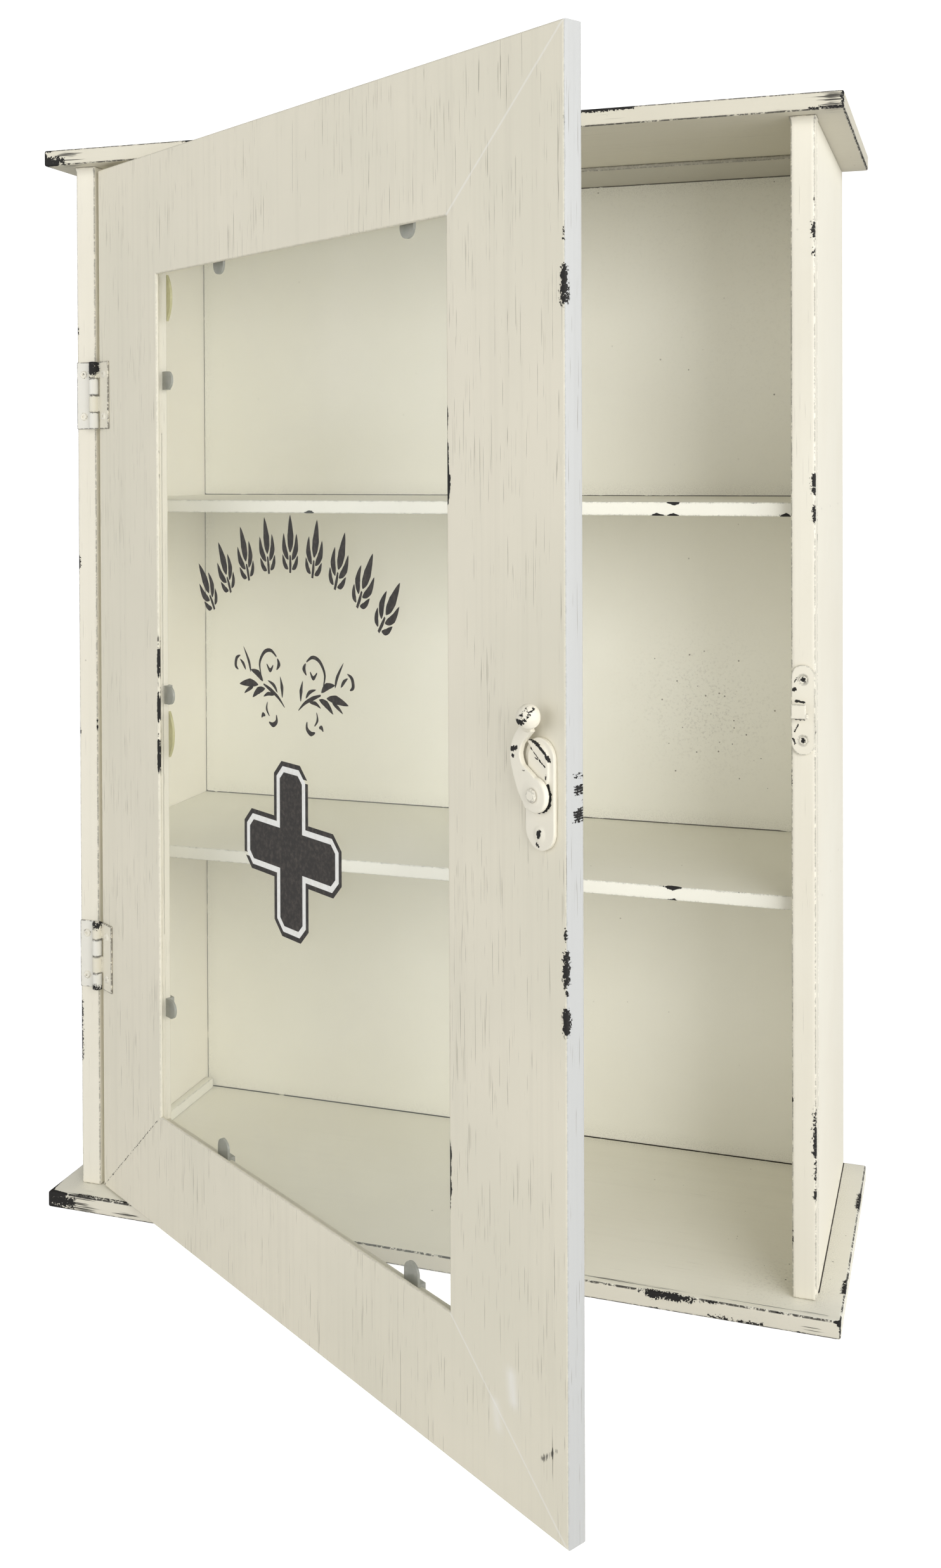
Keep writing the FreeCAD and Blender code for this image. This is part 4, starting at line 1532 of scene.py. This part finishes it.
LEAF = (0.1, 1.5, 2.0, 1.3, 0.1)
SLIM = (0.1, 0.9, 1.1, 0.7, 0.1)
SCROLL = (
    Stroke(((225.3, 345.0), (231.5, 349.6), (239.3, 353.0), (246.5, 355.4)), (0.2, 0.9, 1.2, 0.4)),
    Stroke(((227.6, 350.0), (227.9, 355.5), (229.6, 361.2)), (0.2, 1.5, 0.1)),
    Stroke(((232.4, 352.2), (236.0, 355.8), (242.0, 357.8)), SLIM),
    Stroke(((247.0, 356.8), (252.0, 360.5), (259.5, 362.0)), LEAF),
    Stroke(((259.6, 360.6), (261.6, 366.4), (267.2, 374.2)), SLIM),
    Stroke(((252.0, 354.4), (260.5, 354.6), (271.5, 352.9)), (0.2, 1.6, 2.4, 1.5, 0.1)),
    Stroke(((257.0, 352.6), (262.0, 350.8), (266.5, 348.2)), SLIM),
    Stroke(((244.9, 353.0), (251.8, 351.2), (257.8, 346.9)), LEAF),
    Stroke(((236.0, 350.4), (241.5, 350.6), (246.5, 348.6)), SLIM),
    Stroke(((248.9, 360.0), (250.3, 366.7), (245.6, 372.9), (238.9, 374.5), (233.2, 371.6)),
           (0.3, 0.9, 1.1, 1.0, 0.4)),
    Stroke(((232.4, 370.6), (230.9, 367.6), (233.2, 364.4)), (0.3, 1.6, 0.2)),
    Stroke(((236.6, 366.6), (239.6, 363.6), (243.1, 366.7)), (0.3, 1.2, 0.3)),
    Stroke(((242.6, 346.0), (243.3, 342.0), (240.6, 338.6)), (0.2, 0.9, 0.3)),
    Stroke(((233.5, 340.0), (233.4, 336.4), (237.0, 334.2), (241.0, 335.2)), (0.3, 1.2, 1.4, 0.4)),
    Stroke(((244.8, 338.2), (247.0, 338.6), (248.6, 336.8)), (0.4, 1.3, 0.3)),
    Stroke(((264.8, 361.4), (267.5, 364.6), (271.0, 366.8)), SLIM),
    Stroke(((270.6, 369.0), (274.6, 367.0), (275.6, 362.8), (272.8, 360.8)), (0.2, 1.2, 1.3, 0.2)),
)
SPRIG = (
    Stroke(((0, 11), (0.4, 20), (0, 31)), (0.3, 2.6, 3.0, 1.8, 0.1)),
    Stroke(((0, 0), (0.2, 5), (0, 9.5)), (0.9, 1.1, 0.6)),
    Stroke(((-1.8, 7), (-5.6, 13), (-6.2, 21)), (0.3, 1.9, 2.2, 1.3, 0.1)),
    Stroke(((-1.9, 2.0), (-5.2, 4.4), (-7.4, 9.6)), (0.3, 1.6, 1.5, 0.1)),
    Stroke(((1.8, 7), (5.6, 13), (6.2, 21)), (0.3, 1.9, 2.2, 1.3, 0.1)),
    Stroke(((1.9, 2.0), (5.2, 4.4), (7.4, 9.6)), (0.3, 1.6, 1.5, 0.1)),
)


@dataclass
class Stencil:
    """Ornaments dabbed on the front of the glass, drawn on the closed door in mm from its hinge edge."""

    layer: float = 0.04 * MM
    coat: float = 0.9
    slant: float = 1.1
    cross_centre: tuple[float, float] = (217.5, 268.5)
    cross_reach: float = 41.5
    cross_half: float = 10.8
    cross_gap: float = 3.2
    cross_line: float = 2.6
    ground_over: float = 0.4
    ground_chamfer: float = 6.5
    body_chamfer: float = 4.0
    line_chamfer: float = 7.6
    break_half: float = 0.9
    break_near: float = 2.4
    mirror_axis: float = 218.6
    arch_centre: tuple[float, float] = (218.0, 279.0)
    arch_radius: float = 138.6
    arch_spread: float = 35.0
    arch_count: int = 9

    def __post_init__(self) -> None:
        """Find the pane's front and the door's hinge edge."""
        pane = Pane()
        self.edge = SWING.closed_box("door_hinge_stile")[0].x + self.slant * pane.forward
        self.face = pane.front

    def point(self, s: float, z: float, level: int = 1) -> Vector:
        """A point in front of the pane at a layer of paint, 1 on the glass."""
        return Vector((self.edge + s * MM, self.face - self.layer * level, z * MM))

    def plus(self, shaper: Shaper, grow: float, chamfer: float, level: int) -> bmesh.types.BMFace:
        """Draw a cross with cut corners.

        Args:
            shaper: What it is drawn into.
            grow: Growth on every side in mm.
            chamfer: Cut of the arms' corners in mm.
            level: Layer of paint.

        Returns:
            The face.
        """
        (cs, cz), half, reach = self.cross_centre, self.cross_half + grow, self.cross_reach + grow
        quarter = [(half, half), (half, reach - chamfer), (half - chamfer, reach)]
        quarter += [(chamfer - half, reach), (-half, reach - chamfer)]
        outline = []
        for cos, sin in ((1, 0), (0, 1), (-1, 0), (0, -1)):
            outline += [self.point(cs + s * cos - z * sin, cz + s * sin + z * cos, level) for s, z in quarter]
        face = shaper.mesh.faces.new([shaper.mesh.verts.new(point) for point in outline])
        face.normal_update()
        return face

    def dab(self, shaper: Shaper, name: str, material: Material) -> Piece:
        """Give flat shapes the thickness of a coat of paint.

        Args:
            shaper: The flat shapes.
            name: The piece's name.
            material: Its material.

        Returns:
            The piece.
        """
        shaper.thicken(AXES[1] * self.layer * self.coat)
        return shaper.finish(name, Body.DOOR, Slot.PANE, material)

    def strokes(self, name: str, strokes: Iterable[Stroke]) -> None:
        """Dab some strokes as one piece.

        Args:
            name: The piece's name.
            strokes: The strokes.
        """
        shaper = Shaper()
        for stroke in strokes:
            shaper.ribbon(stroke, lambda flat: self.point(*flat))
        self.dab(shaper, name, FINISHES.ink)

    def build(self) -> None:
        """Dab the cross, the pair of leaf scrolls and the leaf arch."""
        self.cross()
        self.strokes("stencil_scroll_right", SCROLL)
        self.strokes("stencil_scroll_left", [stroke.mirrored(self.mirror_axis) for stroke in SCROLL])
        self.strokes("stencil_leaf_arch", self.arch())

    def cross(self) -> None:
        """The cross: white ground, dark body and an outline with two breaks."""
        ground, body, line = Shaper(), Shaper(), Shaper()
        self.plus(ground, self.cross_gap + self.ground_over, self.ground_chamfer, 1)
        self.dab(ground, "stencil_cross_ground", FINISHES.white)
        self.plus(body, 0.0, self.body_chamfer, 2)
        self.dab(body, "stencil_cross", FINISHES.ink)
        hole = self.plus(line, self.cross_gap + self.cross_line, self.line_chamfer, 2)
        bmesh.ops.inset_region(line.mesh, faces=[hole], thickness=self.cross_line * MM, use_even_offset=True,
                               use_boundary=True)
        bmesh.ops.delete(line.mesh, geom=[hole], context="FACES")
        cs, cz = self.cross_centre
        tall = self.break_half * MM
        for s, z in ((self.cross_half + self.cross_gap + 1.2, 39.5), (-self.cross_reach - 3.5, -9.5)):
            near = self.point(cs + s, cz + z, 2)
            for sign in (-1.0, 1.0):
                line.cut(near + AXES[2] * sign * tall, AXES[2])
            away = {face: face.calc_center_median() - near for face in line.mesh.faces}
            gone = [f for f, way in away.items() if way.length < self.break_near * MM and abs(way.z) < tall]
            bmesh.ops.delete(line.mesh, geom=gone, context="FACES")
        self.dab(line, "stencil_cross_outline", FINISHES.ink)

    def arch(self) -> list[Stroke]:
        """An arch of upright leaf sprigs.

        Returns:
            The strokes.
        """
        strokes = []
        for index in range(self.arch_count):
            angle = math.radians(self.arch_spread * (2 * index / (self.arch_count - 1) - 1))
            up = Vector((math.sin(angle), math.cos(angle)))
            right = Vector((up.y, -up.x))
            foot = Vector(self.arch_centre) + up * self.arch_radius
            for leaf in SPRIG:
                points = tuple(tuple(foot + right * side + up * rise) for side, rise in leaf.points)
                strokes.append(Stroke(points, leaf.widths))
        return strokes


def scratches_and_shadows(rows: Iterable[tuple[Any, ...]], place: Callable[..., Vector]) -> list[Mark]:
    """Dark lines along lines of points: lost paint, and painted shadow where a row stands for one.

    Args:
        rows: For each line its radius in mm, its strength and its points.
        place: Where a point lies.

    Returns:
        The marks.
    """
    marks = []
    for radius, strength, *line in rows:
        points = [place(*point) for point in line]
        for start, end in zip(points, points[1:] or [None]):
            marks.append(Mark(BALD, start, radius * MM, strength, end))
    return marks


ARM = Stroke(((0.4, -1.6), (-5.4, 4.6), (-10.2, 10.6), (-11.7, 16.6), (-9.9, 22.4), (-6.2, 26.6),
              (-2.6, 29.6)), (7.4, 6.2, 3.7, 3.1, 3.0, 3.2, 2.9))
RIDGE = Stroke(((-6.6, 22.6), (-3.0, 21.3), (0.5, 18.9), (4.2, 15.8), (6.4, 14.2)),
               (0.4, 1.5, 2.2, 2.1, 1.4, 0.3))
LEVER_WEAR = (
    (1.5, 1.0, (-13.6, 18.4, 5.8), (-11.0, 18.8, 5.8)),
    (1.0, 0.95, (-12.8, 15.6, 5.8)),
    (0.5, 0.75, (-6.6, 10.0, 5.8), (-5.6, 9.8, 5.8)),
    (0.5, 0.7, (-13.4, 8.0, 5.2), (-11.4, 4.6, 5.2)),
    (1.5, 1.05, (-0.8, 32.6, 14.2), (2.4, 32.6, 14.4)),
    (1.3, 0.85, (4.2, 33.6, 14.0)),
    (1.6, 0.62, (5.4, 35.4, 13.2), (5.8, 37.4, 12.0)),
    (1.4, 0.7, (6.2, 38.6, 10.8)),
    (2.0, 0.52, (2.6, 35.6, 14.6), (3.4, 38.4, 13.0)),
    (1.4, 0.46, (0.6, 38.4, 12.8)),
)
PLATE_WEAR_AND_SHADE = (
    # Ring round the pivot: bare metal, and painted shadow in the gap under the lever's disc
    (1.0, 1.0, (5.8, 4.6, 2.4), (7.2, 0.6, 2.0), (6.6, -3.4, 2.0), (4.0, -6.4, 2.0), (0.4, -7.6, 2.0),
     (-3.0, -7.0, 2.0)),
    (0.9, 0.9, (-6.8, 23.4, 2.4), (-3.4, 23.0, 2.8), (0.8, 21.2, 3.0), (4.0, 18.8, 3.0), (7.0, 15.4, 2.6)),
    (0.5, 0.8, (-5.4, 20.4, 3.0), (-1.6, 17.4, 3.0), (2.2, 14.0, 3.0), (4.8, 12.6, 3.0)),
    # Black dot on the lower screw's head: painted shade in its recess
    (1.5, 1.1, (-0.2, -18.2, 2.6), (0.2, -16.8, 2.6)),
    (0.9, 0.8, (-0.6, -22.8, 1.8), (-1.8, -21.8, 1.9)),
    (0.6, 0.7, (5.0, 7.0, 2.9), (5.4, 9.0, 2.9)),
)
KEEPER_WEAR_AND_SHADE = (
    # The first two rows, about the lip: painted shadow
    (0.9, 1.0, (-4.0, 5.0, 1.8), (0.4, 4.4, 1.8)),
    (0.6, 0.8, (-4.2, -5.4, 2.0), (0.8, -5.2, 2.0)),
    (0.55, 0.72, (-2.6, -8.0, 1.8), (-4.6, -12.0, 1.8)),
    (0.9, 0.72, (-5.6, -16.0, 1.8), (-4.4, -18.6, 1.8)),
    # At the two screws: painted shade in their holes
    (1.5, 1.2, (0, -16.85, 1.8), (0, -16.8, 1.8)),
    (1.5, 1.2, (0, 16.85, 1.8), (0, 16.8, 1.8)),
    (1.2, 0.9, (-5.0, 11.0, 1.8), (-4.4, 11.6, 1.8)),
    (0.8, 0.62, (-4.6, 15.4, 1.8), (-3.6, 17.6, 1.8)),
)
HINGE_WEAR = {"upper": ((1, 4.6, 1.3, -5.5),), "lower": ((1, 3.8, 1.2, -2.0), (0, 3.8, 1.2, 1.5))}


@dataclass
class Fittings:
    """Painted iron fittings, and small CAD pieces that only need a finish. Sizes without MM are in mm."""

    cell: float = 0.36 * MM
    latch_cell: float = 0.30 * MM
    rounds: int = 3
    plate_half: tuple[float, float] = (9.2, 24.5)
    plate_top: float = 2.0
    pad_reach: float = 3.5
    pad_up: float = 11.8
    pad_top: float = 3.0
    ridge_top: float = 3.25
    boss_radius: float = 6.5
    screw_up: float = -17.5
    lever_low: float = 3.3
    lever_top: float = 5.9
    disc_radius: float = 7.8
    neck_foot: Triple = (-3.4, 29.2, 6.4)
    knob: Triple = (2.2, 35.4, 10.0)

    def __post_init__(self) -> None:
        """Find the latch's pivot on the closed door."""
        pivot = next(joint for joint in frame["joints"] if joint["name"] == "latch_turn")["pos_m"]
        self.pivot = SWING.matrix.inverted() @ Vector(pivot)

    def on_latch(self, across: float, up: float, proud: float) -> Vector:
        """A point near the latch's pivot, in mm across, up and in front of the closed door."""
        return self.pivot + Vector((across, -proud, up)) * MM

    def soft(self, node: str, body: Body, material: Material, marks: Iterable[Mark] = ()) -> Piece:
        """Make a softened copy of an iron fitting in its place.

        Args:
            node: The fitting's CAD node.
            body: What it moves with.
            material: Its material.
            marks: Placed traces of use, on the closed door for what the door carries.

        Returns:
            The piece.
        """
        turn = None if body is Body.CARCASS else SWING.matrix
        shaper = Shaper().copy_node(node, turn).melt(self.cell, self.rounds)
        return shaper.finish("painted_" + node, body, Slot.PAINTED_IRON, material, (node,), marks)

    def latch_piece(self, shaper: Shaper, node: str, body: Body, wear: Iterable[tuple[Any, ...]]) -> Piece:
        """Melt a part of the latch and put it in place of its CAD node.

        Args:
            shaper: Its shapes.
            node: The node.
            body: What it moves with.
            wear: Rows of lost paint and painted shadow.

        Returns:
            The piece.
        """
        shaper.melt(self.latch_cell, self.rounds)
        marks = scratches_and_shadows(wear, self.on_latch)
        return shaper.finish("painted_" + node, body, Slot.PAINTED_IRON, FINISHES.latch_iron, (node,), marks)

    def bent_bar(self, shaper: Shaper, stroke: Stroke, low: float, top: float, steps: int) -> None:
        """Add a curved bar to the latch.

        Args:
            shaper: What it is added to.
            stroke: Its outline across and up.
            low: Its underside in front of the door.
            top: Its upper side in front of the door.
            steps: Pieces along it.
        """
        shaper.ribbon(stroke, lambda flat: self.on_latch(flat.x, flat.y, low), steps)
        shaper.thicken(OUTWARD * (top - low) * MM)

    def lever(self) -> Piece:
        """Make the lever: a domed disc, a crescent arm, a neck and an acorn-shaped thumb knob.

        Returns:
            The piece.
        """
        shaper = Shaper()
        low, top, rim = self.lever_low, self.lever_top, self.disc_radius
        self.bent_bar(shaper, ARM, low, top, 30)
        dome = ((low, 0), (low, rim), (top - 0.5, rim), (top, rim - 0.6), (top + 0.25, 4.6),
                (top + 0.45, 4.0), (top + 0.45, 0))
        shaper.lathe(dome, self.pivot, OUTWARD)
        foot, knob = self.on_latch(*self.neck_foot), self.on_latch(*self.knob)
        reach = (knob - foot).length / MM
        neck = ((-2.2, 0), (-1.6, 1.6), (0, 2.5))
        acorn = ((-5.4, 3.2), (-4.0, 4.0), (-3.6, 5.1), (-2.4, 5.4), (-0.4, 5.2), (1.8, 4.5), (3.6, 3.2),
                 (4.6, 1.6), (4.9, 0))
        profile = (*neck, *((reach + along, radius) for along, radius in acorn))
        shaper.lathe(profile, foot, (knob - foot).normalized())
        return self.latch_piece(shaper, "latch_lever", Body.LEVER, LEVER_WEAR)

    def disc(self, shaper: Shaper, radius: float, top: float, up: float) -> None:
        """Add a flat disc on the door's face, with its centre above the pivot."""
        shaper.lathe(((0, 0), (0, radius), (top, radius), (top, 0)), self.on_latch(0, up, 0), OUTWARD)

    def round_bar(self, shaper: Shaper, half: float, reach: float, middle: float, top: float) -> None:
        """Add a round-ended bar to the latch's plate: two discs and a block between them.

        Args:
            shaper: What it is added to.
            half: Half its width in mm.
            reach: From its middle to the centre of an end.
            middle: Height of its middle above the pivot.
            top: How far it stands in front of the door.
        """
        for end in (-reach, reach):
            self.disc(shaper, half, top, middle + end)
        shaper.block(self.on_latch(0, middle, top / 2), (2 * half * MM, top * MM, 2 * reach * MM))

    def plate(self) -> Piece:
        """Make the latch's plate with its raised pad, its boss, a screw head and a curved ridge of paint.

        Returns:
            The piece.
        """
        shaper = Shaper()
        self.bent_bar(shaper, RIDGE, 0.0, self.ridge_top, 24)
        half, tall = self.plate_half
        self.round_bar(shaper, half, tall - half, 0.0, self.plate_top)
        self.round_bar(shaper, self.boss_radius, self.pad_reach, self.pad_up, self.pad_top)
        self.disc(shaper, self.boss_radius, self.pad_top, 0.0)
        head = ((0, 0), (0, 3.8), (2.2, 3.4), (2.6, 2.0), (2.65, 0))
        shaper.lathe(head, self.on_latch(0, self.screw_up, 0), OUTWARD)
        return self.latch_piece(shaper, "latch_plate", Body.DOOR, PLATE_WEAR_AND_SHADE)

    @staticmethod
    def hinge_marks(level: str) -> list[Mark]:
        """Paint lost at the ends of a hinge's barrel.

        Args:
            level: Which hinge, upper or lower.

        Returns:
            The marks, round the pin's axis.
        """
        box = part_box(level + "_hinge_pin")
        axis = (box[0] + box[1]) / 2
        return [Mark.placed((axis.x, axis.y, box[end].z), BALD, (0, 0, 0), radius, strength, (0, 0, run))
                for end, radius, strength, run in HINGE_WEAR[level]]

    @staticmethod
    def keeper_marks() -> list[Mark]:
        """Dark marks on the keeper: painted shadow about its lip, painted shade in its screw holes, and paint
        lost along its left edge.

        Returns:
            The marks.
        """
        low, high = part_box("keeper_plate")
        middle = Vector(((low.x + high.x) / 2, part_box("right_post")[0].y, (low.z + high.z) / 2))
        return scratches_and_shadows(KEEPER_WEAR_AND_SHADE, lambda across, up, proud: middle + Vector((across, -proud, up)) * MM)

    def build(self) -> None:
        """Make the fittings and dress the rest."""
        for level in ("upper", "lower"):
            self.soft(level + "_hinge_post_leaf", Body.CARCASS, FINISHES.post_iron, self.hinge_marks(level))
            self.soft(level + "_hinge_door_leaf", Body.DOOR, FINISHES.door_iron, self.hinge_marks(level))
        for node in ("keeper_plate", "keeper_screws"):
            self.soft(node, Body.CARCASS, FINISHES.latch_iron, self.keeper_marks())
        self.soft("latch_rivet", Body.DOOR, FINISHES.latch_iron)
        self.plate()
        self.lever()
        self.dress()

    @staticmethod
    def dress() -> None:
        """Give the small CAD pieces their finishes."""
        chosen = {
            FINISHES.wood: ("rear_top_rail", "rear_bottom_rail", "post_dowels", "mitre_dowels"),
            FINISHES.steel: ("side_panel_brads", "shelf_brads", "back_panel_brads", "hanger_plates",
                             "hanger_screws", "glass_clip_screws"),
            FINISHES.recess: ("hinge_post_screws", "hinge_door_screws", "upper_hinge_pin", "lower_hinge_pin"),
            # latch plate screws: near-black as painted shade of their recess
            FINISHES.hole: ("latch_plate_screws",),
            FINISHES.clip: ("glass_clips",),
            FINISHES.glue: ("glazing_dabs",),
        }
        for material, nodes in chosen.items():
            for node in nodes:
                data = frame["nodes"][node].data
                data.materials.clear()
                data.materials.append(material)
                LOG.info("%s: %s", node, material.name)


@dataclass
class Studio:
    """Pale floor, soft light and the photograph's camera."""

    eye: Triple = (0.31877, -0.95039, 0.47599)
    yaw: float = 0.31743
    pitch: float = 0.010235
    roll: float = -0.003716
    lens: float = 35.474
    sensor: float = 36.0
    shift_y: float = -0.19475
    nearest: float = 0.01
    aim: Triple = (0, 0, 0.35)
    surround: float = 0.30
    backdrop: float = 0.9
    floor_size: float = 30.0
    floor_under: float = 0.5 * MM

    def build(self) -> None:
        """Make the camera, world, lights and floor."""
        self.camera()
        self.world()
        self.light("key", (2.0, -2.3, 1.15), 1.7, 47.6)
        self.light("side", (2.8, -0.9, 1.0), 1.6, 35.0)
        self.light("fill", (-1.6, -2.9, 1.0), 2.4, 34.0)
        self.light("left", (-2.4, -1.1, 0.8), 1.4, 10.0)
        self.floor()
        bpy.context.scene.view_settings.view_transform = "Standard"

    @staticmethod
    def add(name: str, data: bpy.types.ID, place: Matrix | None = None) -> bpy.types.Object:
        """Put something into the scene.

        Args:
            name: Its name.
            data: Its camera, light or mesh.
            place: Where it stands, or None for the origin.

        Returns:
            The new object.
        """
        item = bpy.data.objects.new(name, data)
        if place is not None:
            item.matrix_world = place
        bpy.context.scene.collection.objects.link(item)
        return item

    def camera(self) -> None:
        """Place the camera where the photograph was taken."""
        data = bpy.data.cameras.new("camera")
        data.sensor_width = self.sensor
        data.lens = self.lens
        data.shift_y = self.shift_y
        data.clip_start = self.nearest
        turn = Matrix.Rotation(self.yaw, 4, "Z") @ Matrix.Rotation(math.pi / 2 - self.pitch, 4, "X")
        place = Matrix.Translation(self.eye) @ turn @ Matrix.Rotation(self.roll, 4, "Z")
        bpy.context.scene.camera = self.add("camera", data, place)

    def world(self) -> None:
        """Surround the cabinet with soft white light, brighter where the camera sees it."""
        world = bpy.data.worlds.new("studio")
        world.use_nodes = True
        bpy.context.scene.world = world
        graph = Graph(world.node_tree)
        background = next(node for node in world.node_tree.nodes if node.type == "BACKGROUND")
        strength = graph.seen() * self.backdrop + self.surround
        graph.feed(background, {"Color": (1, 1, 1, 1), "Strength": strength})

    def light(self, name: str, place: Triple, size: float, power: float) -> None:
        """Add a soft box that looks at the cabinet.

        Args:
            name: Its name.
            place: Where it stands.
            size: Side of its square.
            power: Watts.
        """
        data = bpy.data.lights.new(name, "AREA")
        data.size = size
        data.energy = power
        facing = (Vector(self.aim) - Vector(place)).to_track_quat("-Z", "Y")
        self.add(name, data, Matrix.Translation(place) @ facing.to_matrix().to_4x4())

    def floor(self) -> None:
        """Lay a pale floor under the base."""
        mesh = bmesh.new()
        under = Matrix.Translation((0, 0, -self.floor_under))
        bmesh.ops.create_grid(mesh, x_segments=1, y_segments=1, size=self.floor_size, matrix=under)
        data = bpy.data.meshes.new("floor")
        mesh.to_mesh(data)
        mesh.free()
        data.materials.append(PaleFloor("pale_floor").make())
        ground = self.add("floor", data)


def main() -> None:
    """Build every sub-assembly, then the studio."""
    logging.basicConfig(level=logging.INFO, format="%(message)s")
    Carcass().build()
    DoorFrame().build()
    Pane().build()
    Stencil().build()
    Fittings().build()
    Studio().build()


if __name__ == "__main__":
    main()
